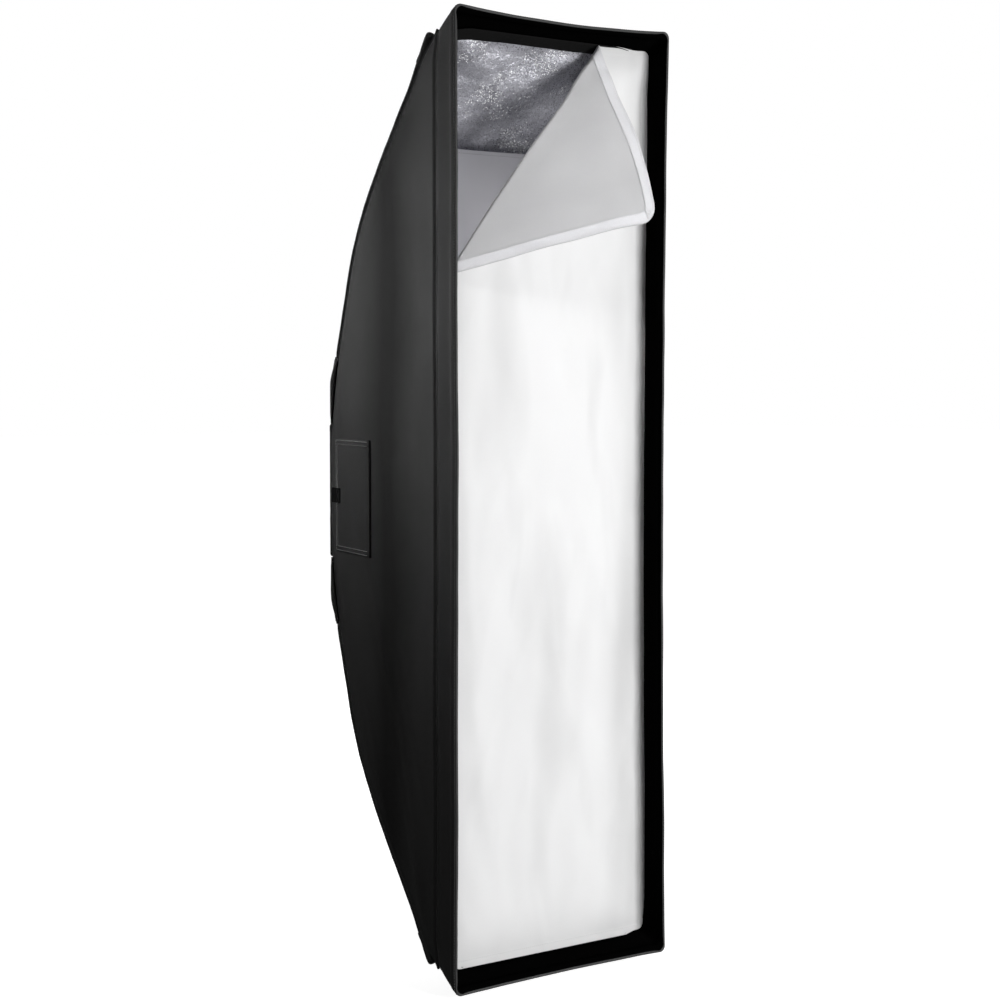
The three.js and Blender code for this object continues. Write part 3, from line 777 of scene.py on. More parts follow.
def side_panel(tag, side):
    zs = np.union1d(np.linspace(-PANEL_Z, PANEL_Z, 131), WINDOW_Z)
    ys = np.union1d(np.linspace(LIP_Y, SEAM_Y[0], 42), WINDOW_Y)

    def outside_window(i, j):
        z, y = (zs[i] + zs[i + 1]) / 2, (ys[j] + ys[j + 1]) / 2
        return not (WINDOW_Z[0] < z < WINDOW_Z[1] and WINDOW_Y[0] < y < WINDOW_Y[1])
    z, y = mesh_grid(zs, ys)
    y = np.minimum(y, np.minimum(seam(np.abs(z))[0], SEAM_Y[0] + 0.5))
    obj = sheet(f"side_panel_{tag}_cloth", side_surface(side, y, z), (y, z), 2.0,
                ["black_side_painted_sheen", "silver"], flip=side > 0, inner_slot=1, keep=outside_window)
    give(obj, "softbox", "black_fabric", f"side_panel_{tag}")


for tag, side in SIDES:
    side_panel(tag, side)

# -------------------------------------------------- top and bottom panels
PANEL_START = 214.0             # height above the centre line where a panel starts


def back_surface(end, u, z, out=0.0):
    """back panel: u across from -1 to 1, z height above the centre line"""
    y, z, ny, nz = seam_frame(z)
    half = half_width(y) - 0.6
    x = u * half
    across = np.clip(np.abs(x) / (half - 15), 0, 1)
    run = (z - PANEL_START) / (PANEL_Z - PANEL_START)
    crown = 9.0 * np.sin(np.pi * np.clip(run, 0, 1)) ** 0.6 * (1 - across ** 2)
    edge = smooth(1.0, 0.88, np.abs(u)) * smooth(0, 0.08, run) * smooth(1, 0.95, run)
    wrinkle = (noise(x / 70, z / 130, 21 + end) * 3.0
               + ridge(x / 150 + z / 95, z / 210, 23 + end, 2.4) * 3.0
               + ridge(x / 120 - z / 160, z / 260, 25 + end, 2.8) * 2.2 - 1.5) * edge
    # creases that fan out from the front corners
    fan = 0
    for corner in (-1, 1):
        dx, dz = 210 - x * corner, 700 - z
        angle, far = np.arctan2(dz, dx), np.hypot(dz, dx)
        sway = 1.5 * noise(far / 90, 0.7, 27 + end)
        fan = fan + (np.sin(angle * 13.0 + 0.9 * corner + sway) * 2.6
                     * smooth(15, 70, far) * smooth(330, 150, far))
    wrinkle = wrinkle * 1.3 + fan * 1.4 * edge
    rise = -2.6 + 2.2 * smooth(0.965, 1.0, np.abs(u)) + crown + wrinkle + out
    pull = tuck(x, y, z)
    return np.stack([x - np.sign(x) * TUCK_X * pull, y + rise * ny,
                     end * (z + rise * nz - TUCK_Z * pull)], -1)


for tag, end in ENDS:
    us = stations((-1, -0.86, 0.86, 1), (8, 34, 8))
    zs = np.linspace(PANEL_START, PANEL_Z - 0.5, 88)
    grid = back_surface(end, *mesh_grid(us, zs))
    arc = run_length(np.stack([zs, seam(zs)[0]], 1))
    obj = sheet(f"{tag}_panel_cloth", grid, (grid[..., 0], arc), 2.0, ["black", "silver"],
                flip=end > 0, inner_slot=1)
    give(obj, "softbox", "black_fabric", f"{tag}_panel")


# --------------------------------------------------------------------- lip
def rim_loop(half_x, half_z, radius, side_count, end_count, arc_count=8):
    """x, z points round a rounded rectangle, anticlockwise seen from the front"""
    arcs, points = [], []
    for k, (side, end) in enumerate(((1, 1), (-1, 1), (-1, -1), (1, -1))):
        angle = np.radians(90 * k + 90 * np.arange(arc_count + 1) / arc_count)
        arcs.append(np.stack([side * (half_x - radius) + radius * np.cos(angle),
                              end * (half_z - radius) + radius * np.sin(angle)], 1))
    for k, arc in enumerate(arcs):
        count = side_count if k % 2 else end_count
        part = np.arange(1, count)[:, None] / count
        points += [arc, arc[-1] + (arcs[(k + 1) % 4][0] - arc[-1]) * part]
    return np.vstack(points)


RIM = rim_loop(RIM_X, RIM_Z, radius=11, side_count=120, end_count=36)
RIM_RUN = run_length(RIM)


def lip_points(depth, inset):
    """a loop round the lip; depth is 0 at the front edge and 1 at the panels"""
    x, z = RIM[:, 0], RIM[:, 1]
    side = smooth(RIM_X - 30, RIM_X - 6, np.abs(x))
    end = smooth(RIM_Z - 30, RIM_Z - 6, np.abs(z))
    nx, nz = np.sign(x) * side, np.sign(z) * end
    bow = np.where(x > 0, rim_bow(1, z), rim_bow(-1, z)) * (1 - 0.25 * depth)
    sag = np.where(z > 0, rim_sag(1, x), rim_sag(-1, x)) * (1 - 0.8 * depth)
    x, z = x - nx * bow, z - nz * sag
    z = z * (1 + (LIP_Z / RIM_Z - 1) * depth)
    pull = tuck(x, np.full_like(x, LIP_Y), z) * max(depth, 0.0) ** 1.5
    x = x - np.sign(x) * TUCK_X * pull
    z = z - np.sign(z) * TUCK_Z * pull
    length = np.maximum(np.hypot(nx, nz), 1e-6)
    wave = noise(RIM[:, 1] / 85 + RIM[:, 0] / 60, 3.1, 31) * 1.0 * (1 - depth)
    y = RIM_Y + (LIP_Y - RIM_Y) * depth + wave
    return np.stack([x - nx / length * inset, y, z - nz / length * inset], 1)


# (depth, inset mm): outer face from rear to front, hem, inner face from front to rear
LIP_SECTION = [
    (1.0, 0.0), (0.8, -0.2), (0.6, -0.1), (0.42, 0.0), (0.285, 0.1), (0.27, 0.0),
    (0.255, -0.45), (0.16, -0.6), (0.06, -0.35), (0.012, 0.3), (-0.004, 1.6), (0.0, 2.9),
    (0.012, 4.3), (0.06, 5.0), (0.16, 5.2), (0.255, 5.0), (0.27, 4.3), (0.285, 3.6),
    (0.42, 3.2), (0.6, 3.1), (0.8, 3.0), (1.0, 3.0)]
LIP_SLOTS = [2] * 7 + [1] * 5 + [0] * 10        # outer face, hem binding, inner face

# the inner face takes the painted-shade copy of the lip nylon, the outer face the lighter,
# glossier copy
obj = closed_band("front_lip_cloth", np.stack([lip_points(*row) for row in LIP_SECTION], 1),
                  RIM_RUN, np.array([depth * 50 for depth, _ in LIP_SECTION]),
                  ["lip", "black_edge", "lip_out"], LIP_SLOTS * len(RIM))
give(obj, "softbox", "lip_fabric", "front_lip")

# narrow binding where the lip is sewn to the panels
bind = lip_points(0.985, -0.05)
bind_out = (bind - lip_points(0.97, 3)) / 3.05
rings = [point + np.outer(np.cos(circle(8)), [0, 1, 0]) * 1.3
         + np.outer(np.sin(circle(8)), out) * 0.35 for point, out in zip(bind, bind_out)]
obj = closed_band("lip_seam_binding", rings, RIM_RUN, np.arange(8) * 1.5, ["black"])
give(obj, "softbox", "black_fabric")


def close_loop(points):
    return np.vstack([points, points[:1]])


lip_out = close_loop(lip_points(0.97, -4) - lip_points(0.97, 0))
lines = [close_loop(lip_points(*row)) for row in ((0.90, -0.35), (0.225, -0.45), (0.05, -0.5))]
obj = stitches("lip_seam_stitches", lines, [lip_out] * 3, "thread")
give(obj, "softbox", "black_fabric")

# --------------------------------------------------- rods, channels, pockets
ROD_OUT = 6.4                   # rod axis above the seam
ROD_INSET = 8                   # rod axis in from the side panel
CHANNEL_RADIUS = 7.6


def rod_point(z, out=ROD_OUT):
    y, z, ny, nz = seam_frame(z)
    return np.array([half_width(y) - ROD_INSET, y + out * ny, z + out * nz])


def smooth_path(points, rounds):
    points = np.array(points, float)
    for _ in range(rounds):
        points[1:-1] = (points[:-2] + 2 * points[1:-1] + points[2:]) / 4
    return points


def square_to(normal, tangent):
    """the part of a normal square to a tangent, as a unit vector"""
    return unit(normal - tangent * normal.dot(tangent))


POCKET_START, POCKET_END = rod_point(636, ROD_OUT + 2), rod_point(672, ROD_OUT + 2)
POCKET_LENGTH = np.linalg.norm(POCKET_END - POCKET_START)
TIP_DIR = (POCKET_END - POCKET_START) / POCKET_LENGTH
CHANNEL = smooth_path([rod_point(z) for z in np.linspace(215, 616, 60)]
                      + [POCKET_START - TIP_DIR * 12, POCKET_START + TIP_DIR * 6], rounds=3)
# distance along the pocket, half width across, half height; the mouth's fold comes first
POCKET_STATIONS = [
    (-4, 8.0, 8.4), (-3.4, 8.0, 9.1), (0, 8.0, 9.2), (5, 8.0, 9.0), (6.5, 8.0, 8.5),
    (9, 8.0, 8.4), (16, 8.0, 8.3), (24, 8.0, 8.0), (POCKET_LENGTH - 12, 8.0, 7.6),
    (POCKET_LENGTH - 6, 7.9, 6.9), (POCKET_LENGTH - 2.5, 7.2, 6.1),
    (POCKET_LENGTH - 0.6, 5.6, 4.6), (POCKET_LENGTH + 0.3, 3.0, 2.4)]


def rod_channel(tag, side, end):
    """sewn sleeve over a rod, flattened on the panel side"""
    step = 8.0
    points = resample(CHANNEL * (side, 1, end), step)
    cos, sin = np.cos(circle(20)), np.sin(circle(20))
    rings = []
    for k, (point, along) in enumerate(zip(points, tangents(points))):
        _, _, ny, nz = seam_frame(min(abs(point[2]) - 2.5, 689))
        up = square_to(np.array([0, ny, end * nz]), along)
        across = unit(np.cross(up, along))
        if across[0] * side < 0:
            across = -across
        run = k * step
        puff = (1 + 0.05 * noise(run / 46.0, 0.5, 41 + side + 2 * end)
                + 0.025 * noise(run / 17.0, 3.5, 43 + side))
        radius = CHANNEL_RADIUS * puff
        height = np.where(sin > 0, sin, sin * 0.86) * radius
        # a small flange towards the panel's middle
        flange = np.where((sin < 0.25) & (cos < 0), 0.55 * smooth(0.25, -0.6, sin), 0)
        rings.append(point + np.outer(cos * radius * (1 + flange), across)
                     + np.outer(height, up))
    for k in (0, -1):           # the closed ends are drawn in a little
        centre = rings[k].mean(0)
        rings[k] = centre + (rings[k] - centre) * 0.9
    obj = loft(f"rod_channel_{tag}_cloth", rings, "black")
    give(obj, "softbox", "black_fabric", f"rod_channel_{tag}")


def rod_pocket(tag, side, end):
    """sewn sock over a rod's tip, with a folded mouth"""
    _, _, ny, nz = seam_frame(652)
    up = square_to(np.array([0, ny, nz]), TIP_DIR)
    angle, rings = circle(24), []
    for run, wide, high in POCKET_STATIONS:
        puff = (1 + 0.03 * np.sin(3 * angle + run * 0.21)
                + 0.04 * noise(angle * 1.3, run / 12.0, 51 + side))
        ring = (POCKET_START + TIP_DIR * run
                + np.outer(np.cos(angle) * wide * puff, [1.0, 0, 0])
                + np.outer(np.sin(angle) * high * puff, up))
        rings.append(ring * (side, 1, end))
    obj = loft(f"rod_pocket_{tag}_cloth", rings, "black_edge")
    give(obj, "softbox", "black_fabric", f"rod_pocket_{tag}")


for corner in CORNERS:
    rod_channel(*corner)
    rod_pocket(*corner)

# the rod's lower run, from its socket: x, y from FACE, z
ROD_LOWER = [(72, -46, 36), (72, -46, 76), (74.5, -50, 112), (80, -56, 156),
             (87.5, -63.5, 196)]
ROD_HEIGHTS = (219, 262, 310, 360, 405, 450, 495, 540, 585, 618)
rod_end = POCKET_END - TIP_DIR * 13
rod = resample([np.array([x, y + FACE, z]) for x, y, z in ROD_LOWER]
               + [rod_point(z) for z in ROD_HEIGHTS]
               + [POCKET_START, (POCKET_START + rod_end) / 2, rod_end], 4.0)
# the straight start stays as it is and the rest is eased
rod = resample(np.vstack([rod[:8], smooth_path(rod[7:], rounds=30)[1:]]), 9.0)
radii = np.full(len(rod), 3.95)
radii[0] = 3.5
for tag, side, end in CORNERS:
    obj = tube(f"rod_{tag}_steel", rod * (side, 1, end), radii, "rod", count=18)
    give(obj, "softbox", "rod_steel", f"rod_{tag}")

# piping along the seams between side and back panels
for tag, side, end in CORNERS:
    y, z, ny, nz = seam_frame(np.linspace(PANEL_START, PANEL_Z + 0.5, 130))
    rise = 0.4
    pull = tuck(half_width(y), y, z)
    x = half_width(y) - 1.0 - TUCK_X * pull - panel_bow(side, y, end * z)
    points = np.stack([side * x, y + rise * ny, end * (z + rise * nz - TUCK_Z * pull)], 1)
    obj = tube(f"corner_seam_{tag}", points, 1.7, "black_edge", count=8)
    give(obj, "softbox", "black_fabric")

# ---------------------------------------------------------------- rear hem
_, hem_x, hem_front, hem_rear, _, hem_z = box_mm("rear_hem")
HEM_DEPTH = 2.9                 # half the hem's depth behind its middle
loop = rim_loop(hem_x - 3.5, hem_z - 3.5, radius=1.5, side_count=40, end_count=40)
cos, sin = np.cos(circle(14)), np.sin(circle(14))
middle = hem_rear - HEM_DEPTH
rings = []
for k, (x, z) in enumerate(loop):
    along = unit(loop[(k + 1) % len(loop)] - loop[k - 1])
    wide = (3.3 + 0.35 * noise(k * 0.31, 2.0, 61)) * cos
    front = min(hem_front + 0.1, seam(min(abs(z) + 3, 111))[0] - 1.0)
    y = middle + np.where(sin > 0, HEM_DEPTH, middle - front) * sin
    rings.append(np.stack([x + along[1] * wide, y, z - along[0] * wide], 1))
obj = closed_band("rear_hem_cloth", rings, run_length(loop), np.arange(14) * 1.5, ["web"])
give(obj, "softbox", "webbing", "rear_hem")

# -------------------------------------------------------------- hook bands
for tag, side in SIDES:
    _, _, y0, y1, z0, z1 = box_mm(f"hook_band_{tag}")
    z, y = mesh_grid(np.linspace(z0, z1, 90), np.linspace(y0, y1, 8))
    x = side * (half_width(y) - 2.5 - panel_bow(side, y, z) + side_wrinkle(side, y, z)
                + 0.25 * noise(z / 16, y / 9, 71))
    obj = sheet(f"hook_band_{tag}_tape", np.stack([x, y, z], -1), (y, z), 1.5, ["hook"],
                flip=side > 0)
    give(obj, "softbox", "webbing", f"hook_band_{tag}")
for tag, end in ENDS:
    u, z = mesh_grid(np.linspace(-0.95 if end > 0 else -0.80, 0.80, 60),
                     np.linspace(677.5, 691.0, 7))
    grid = back_surface(end, u, z, -2.3)
    obj = sheet(f"hook_band_{tag}_tape", grid, (grid[..., 0], z), 1.5, ["hook"],
                flip=end > 0)
    give(obj, "softbox", "webbing", f"hook_band_{tag}")

# -------------------------------------------------------------- rear flaps
REAR_FLAP_ROOT, REAR_FLAP_END = 112.0, 213.0    # heights above the centre line


def rear_flap_grid(end, us, zs):
    u, z = mesh_grid(us, zs)
    run = (z - REAR_FLAP_ROOT) / (REAR_FLAP_END - REAR_FLAP_ROOT)
    far = np.abs(u)
    # the root's ends reach the hem's corners
    z = z - 2.4 * smooth(0.9, 1.0, far) * smooth(0.05, 0.0, run)
    y, z, ny, nz = seam_frame(z)
    half = half_width(y) - 0.6 + 5.0 * run
    rise = (7.6 + 7.2 * run + 1.8 * (1 - u ** 2)
            + noise(u * 2.2, z / 45, 81 + end) * 1.1 * smooth(1.0, 0.8, far)
            + ridge(u * 1.5 + z / 160, z / 90, 83 + end, 3) * 0.9)
    # the ends turn down over the corner seams in a rounded swell
    swell = 2.2 + 11.0 * np.sin(np.pi * np.clip(run * 0.92 + 0.06, 0, 1)) ** 0.8
    rise = rise + (np.minimum(swell, rise) - rise) * smooth(0.955, 1.0, far)
    half = half - ((half - half_width(y) + 0.6) * (1 - np.sin(np.pi * run) ** 0.6)
                   * smooth(0.9, 1.0, far))
    grid = np.stack([u * half, y + rise * ny, end * (z + rise * nz)], -1)
    # a short skirt at each end comes down outside the side panel's edge
    skirts = []
    for column, side in ((0, -1), (-1, 1)):
        foot_y, foot_z = [at[column] - 0.8 * n[column] for at, n in ((y, ny), (z, nz))]
        foot = np.stack([side * (half_width(y[column]) + 2.2), foot_y, end * foot_z], -1)
        rows = []
        for part in (0.2, 0.4, 0.6, 0.8, 1.0):
            row = grid[column] * (1 - part) + foot * part
            row[:, 0] += side * 0.9 * math.sin(math.pi * part)
            rows.append(row)
        skirts.append(rows)
    with_skirts = np.concatenate([skirts[0][::-1], grid, skirts[1]], 0)
    heights = np.concatenate([np.repeat(z[:1], 5, 0), z, np.repeat(z[-1:], 5, 0)], 0)
    return grid, with_skirts, heights


def rear_flap(tag, end):
    us, zs = np.linspace(-1, 1, 61), np.linspace(REAR_FLAP_ROOT, REAR_FLAP_END, 30)
    grid, with_skirts, heights = rear_flap_grid(end, us, zs)
    # both material slots hold the same cloth
    obj = sheet(f"rear_flap_{tag}_cloth", with_skirts, (with_skirts[..., 0], heights), 1.8,
                ["black", "black"], flip=end > 0)
    give(obj, f"rear_flap_{tag}", "black_fabric", f"rear_flap_{tag}")
    lines, normals = [], []
    for inset in (5.0, 10.0):
        edge, low, high = 1 - inset / 120, REAR_FLAP_ROOT + inset, REAR_FLAP_END - 4
        path = ([(-edge, z) for z in np.linspace(high, low, 22)]
                + [(u, low) for u in np.linspace(-edge, edge, 50)]
                + [(edge, z) for z in np.linspace(low, high, 22)])
        line, outward = [], []
        for u, z in path:
            (i, part_i), (j, part_j) = locate(us, u), locate(zs, z)
            normal = unit(np.cross(grid[i + 1, j] - grid[i, j], grid[i, j + 1] - grid[i, j]))
            if normal[1] <= 0:
                normal = -normal
            line.append(bilinear(grid, i, part_i, j, part_j) + normal * 0.1)
            outward.append(normal)
        lines.append(line)
        normals.append(outward)
    obj = stitches(f"rear_flap_{tag}_stitches", lines, normals, "thread_dark")
    give(obj, f"rear_flap_{tag}", "black_fabric")


for tag, end in ENDS:
    rear_flap(tag, end)


# ------------------------------------------------------------ access flaps
def access_flap(tag, side):
    """flap over the side panel's window, with stitching, sewn front edge and pull tab"""
    body = f"access_flap_{tag}"
    _, _, y0, y1, z0, z1 = box_mm(body)
    y0, y1, z0, z1 = y0 + 0.5, y1 - 0.5, z0 + 0.5, z1 - 0.5
    normal = np.array([side, TAPER, 0]) * TAPER_COS

    def flap_out(y, z):
        """how far the flap's outer skin stands off the panel"""
        edge = np.minimum(np.minimum(z - z0, z1 - z), y1 - y)
        hem = 0.4 * smooth(0.2, 1.6, edge) * (1 - smooth(9.5, 12.5, edge))
        puff = 0.5 * smooth(0, 40, edge) * smooth(0, 40, y - y0)
        wrinkle = noise(y / 44, z / 60, 91 + side) * 0.4 * smooth(2, 22, edge)
        return 2.9 + hem + puff + wrinkle - 0.7 * smooth(9, 0, y - y0)

    def on_flap(y, z, extra=0.0):
        return side_surface(side, y, z, flap_out(y, z) + extra)

    z, y = mesh_grid(stations((z0, z0 + 8, z1 - 8, z1), (8, 40, 8)),
                     stations((y0, y0 + 6, y1 - 8, y1), (7, 30, 8)))
    obj = sheet(f"{body}_cloth", on_flap(y, z), (y, z), 1.5, ["black_side_painted_sheen"], flip=side > 0)
    give(obj, body, "black_fabric", body)

    lines = []
    for inset in (2.6, 9.0):
        rear, low, high = y1 - inset, z0 + inset, z1 - inset
        for ya, yb, za, zb in ((y0 + 6, rear, high, high), (rear, rear, high, low),
                               (rear, y0 + 6, low, low)):
            lines.append(on_flap(np.linspace(ya, yb, 40), np.linspace(za, zb, 40), 0.05))
    obj = stitches(f"{body}_stitches", lines, [normal] * len(lines), "thread_light",
                   width=1.0)
    give(obj, body, "black_fabric")
    # the sewn edge where the flap joins the side panel
    root = on_flap(np.full(50, y0 - 0.2), np.linspace(z0, z1, 50), -1.6)
    give(tube(f"{body}_root", root, 2.3, "black", count=10), body, "black_fabric")

    # pull tab: a strip of tape sewn down at its forward end
    _, _, tab_y0, tab_y1, tab_z0, tab_z1 = box_mm(f"pull_tab_{tag}")

    def tab_out(y, z, gap):
        return flap_out(np.minimum(y, y1), z) + gap + 1.2 * smooth(tab_y0 + 16, tab_y1, y)
    z, y = mesh_grid(np.linspace(tab_z0, tab_z1, 14), np.linspace(tab_y0, tab_y1, 30))
    out = tab_out(y, z, 1.1) + 0.25 * noise(y / 7, z / 9, 97)
    out = out - 0.9 * smooth(2.0, 0.0, np.minimum(z - tab_z0, tab_z1 - z))
    obj = sheet(f"pull_tab_{tag}_tape", side_surface(side, y, z, out), (y, z), 1.0, ["tab"],
                flip=side > 0)
    give(obj, body, "webbing", f"pull_tab_{tag}")
    # sewn down with a crossed box
    front, rear, low, high = tab_y0 + 2.5, tab_y0 + 15, tab_z0 + 3, tab_z1 - 3
    lines = []
    for path in ([(front, low), (rear, low), (rear, high), (front, high), (front, low)],
                 [(front, low), (rear, high)], [(front, high), (rear, low)]):
        y, z, _ = resample([(y, z, 0) for y, z in path], 2.0).T
        lines.append(side_surface(side, y, z, tab_out(y, z, 1.15) + 0.1))
    obj = stitches(f"pull_tab_{tag}_stitches", lines, [normal] * 3, "thread",
                   pitch=2.8, length=2.1, width=0.6, height=0.35)
    give(obj, body, "webbing")


for tag, side in SIDES:
    access_flap(tag, side)


# ------------------------------------------------------------ inner baffle
def round_corners(x, z, half_x, half_z, radius):
    """pull a rectangle's square corners onto arcs"""
    past_x, past_z = np.abs(x) - (half_x - radius), np.abs(z) - (half_z - radius)
    corner = (past_x > 0) & (past_z > 0)
    pull = np.maximum(past_x, past_z) / np.maximum(np.hypot(past_x, past_z), 1e-9)
    return (np.where(corner, np.sign(x) * (half_x - radius + past_x * pull), x),
            np.where(corner, np.sign(z) * (half_z - radius + past_z * pull), z))


_, BAFFLE_X, y0, y1, _, BAFFLE_Z = box_mm("inner_baffle")
baffle_us = stations((-BAFFLE_X, -BAFFLE_X + 8, BAFFLE_X - 8, BAFFLE_X), (6, 40, 6))
baffle_vs = stations((-BAFFLE_Z, -BAFFLE_Z + 10, BAFFLE_Z - 10, BAFFLE_Z), (7, 110, 7))


def baffle_edge(x, z):
    return np.minimum(BAFFLE_X - np.abs(x), BAFFLE_Z - np.abs(z))


x, z = round_corners(*mesh_grid(baffle_us, baffle_vs), BAFFLE_X, BAFFLE_Z, radius=12.0)
edge = baffle_edge(x, z)
edge_pull = 3.0 * (z / BAFFLE_Z) ** 2 * (1 - (x / BAFFLE_X) ** 2)
baffle_depth = ((y0 + y1) / 2 - 2.6 + noise(x / 70, z / 160, 101) * 2.2 * smooth(0, 30, edge)
                + 0.35 * (1 - smooth(9.5, 11, edge)) * smooth(0, 1, edge)
                + ridge(x / 120 + z / 300, z / 400, 103, 3) * 1.6 * smooth(0, 40, edge)
                + noise(x / 30, z / 26, 104) * 0.9 * smooth(30, 4, edge))
pulled_z = z - np.sign(z) * edge_pull * smooth(0.8, 1.0, np.abs(z) / BAFFLE_Z)
obj = sheet("inner_baffle_cloth", np.stack([x, baffle_depth, pulled_z], -1), (x, z),
            lambda v: 1.0 + 0.7 * (1 - smooth(9, 11, baffle_edge(v[:, 0], v[:, 2]))),
            ["baffle"])
give(obj, "inner_baffle", "baffle_fabric", "inner_baffle")


def baffle_y(x, z):
    return bilinear(baffle_depth, *locate(baffle_us, x), *locate(baffle_vs, z))


x, z = close_loop(rim_loop(BAFFLE_X - 8.5, BAFFLE_Z - 8.5, radius=6, side_count=90,
                           end_count=24, arc_count=5)).T
obj = stitches("inner_baffle_stitches", [np.stack([x, baffle_y(x, z) - 0.75, z], 1)],
               [(0, -1.0, 0)], "thread_white", pitch=4.0)
give(obj, "inner_baffle", "baffle_fabric")
for tag, _, _ in CORNERS:
    x0, x1, _, _, z0, z1 = box_mm(f"baffle_tab_{tag}")
    x, z = mesh_grid(np.linspace(x0, x1, 12), np.linspace(z0, z1, 20))
    y = baffle_y(x, z) - 0.7 + 0.3 * noise(x / 6, z / 8, 107)
    obj = sheet(f"baffle_tab_{tag}_tape", np.stack([x, y, z], -1), (x, z), 1.1, ["tape"])
    give(obj, "inner_baffle", "fastener_tape", f"baffle_tab_{tag}")

# ------------------------------------- front diffuser with its peeled corner
# SHEET_X and SHEET_Z are half the sheet's width and height
_, SHEET_X, FRONT_Y, y1, _, SHEET_Z = box_mm("front_diffuser")
SHEET_Y = (FRONT_Y + y1) / 2
fold = next(j for j in frame["joints"] if j["name"] == "diffuser_corner_fold")
FOLD_ALONG = unit(-np.array([fold["axis"][0], fold["axis"][2]]))    # x, z, upwards
FOLD_AWAY = np.array([-FOLD_ALONG[1], FOLD_ALONG[0]])               # towards the corner
fold_middle = np.array([fold["pos_m"][0], fold["pos_m"][2]]) * 1000
# where the fold meets the left edge and the top edge
FOLD_LEFT = fold_middle + FOLD_ALONG * ((-SHEET_X - fold_middle[0]) / FOLD_ALONG[0])
FOLD_TOP = fold_middle + FOLD_ALONG * ((SHEET_Z - fold_middle[1]) / FOLD_ALONG[1])
FOLD_LENGTH = float(np.linalg.norm(FOLD_TOP - FOLD_LEFT))
ROLL = 3.4                      # radius of the fold
TURN = math.radians(147.0)      # how far the corner is turned over
CURL = 0.00045                  # bend of the turned corner, radians per mm
BORDER = 9.0                    # width of the hem that turns along the lip
BEND_RADIUS = 4.5


def sheet_relief(x, z):
    """gentle wrinkles of the flat sheet, forward is positive, mm"""
    side, end = SHEET_X - np.abs(x), SHEET_Z - np.abs(z)
    wrinkle = (noise(x / 95, z / 210, 111) * 3.2
               + noise(x / 46 + z / 190, z / 120, 112) * 1.8
               + ridge(x / 130 + z / 420, z / 520, 113, 3.2) * 1.8
               + ridge(x / 100 - z / 330, z / 380 + 4, 114, 3.4) * 1.6)
    # puckers along the edges
    pucker = (noise(z / 26, np.sign(x) * 3.1, 115) * smooth(70, 0, side) * 1.2
              + noise(x / 24, np.sign(z) * 5.1, 116) * smooth(60, 0, end) * 1.2)
    return (wrinkle * smooth(0, 45, side) * smooth(0, 45, end)
            + pucker * smooth(0, 10, np.minimum(side, end)))


def corner_pull(x, z):
    """the top right corner stands a little forward, in soft folds that run down the sheet"""
    top = SHEET_Z - z
    stand = smooth(110, 185, x) * smooth(70, 0, top)
    folds = (np.sin((x - 0.14 * top) / 9.5 + 0.6) + 0.6 * np.sin((x + 0.1 * top) / 5.3)) * 1.5
    return 7.0 * stand + (folds * smooth(95, 125, x) * smooth(SHEET_X, SHEET_X - 16, x)
                          * smooth(330, 60, top) * smooth(0, 14, top))


def turned(past, angle):
    """a cloth that bends forward past 0: how far forward, and how much it draws in"""
    arc = np.clip(past, 0, angle * BEND_RADIUS)
    rest = np.maximum(past - angle * BEND_RADIUS, 0)
    forward = BEND_RADIUS * (1 - np.cos(arc / BEND_RADIUS)) + rest * np.sin(angle)
    out = BEND_RADIUS * np.sin(arc / BEND_RADIUS) + rest * np.cos(angle)
    return forward, np.maximum(past, 0) - out


def border_turn(x, z, past_fold):
    """forward offset and inward pull in x and z of the turned hem; nothing near the fold"""
    away = smooth(-10, -70, past_fold)
    angle_x = np.maximum(math.radians(17) * away * smooth(8, 75, SHEET_Z - np.abs(z)), 1e-4)
    angle_z = np.maximum(math.radians(24) * away * smooth(8, 65, SHEET_X - np.abs(x)), 1e-4)
    past_x = np.abs(x) - (SHEET_X - BORDER)
    forward_x, pull_x = turned(past_x, angle_x)
    forward_z, pull_z = turned(np.abs(z) - (SHEET_Z - BORDER), angle_z)
    wave = 1 + 0.10 * noise(z / 40, np.sign(x) * 2.0, 117) * smooth(0, 8, past_x)
    return (np.maximum(forward_x * wave, forward_z),
            -np.sign(x) * pull_x, -np.sign(z) * pull_z)


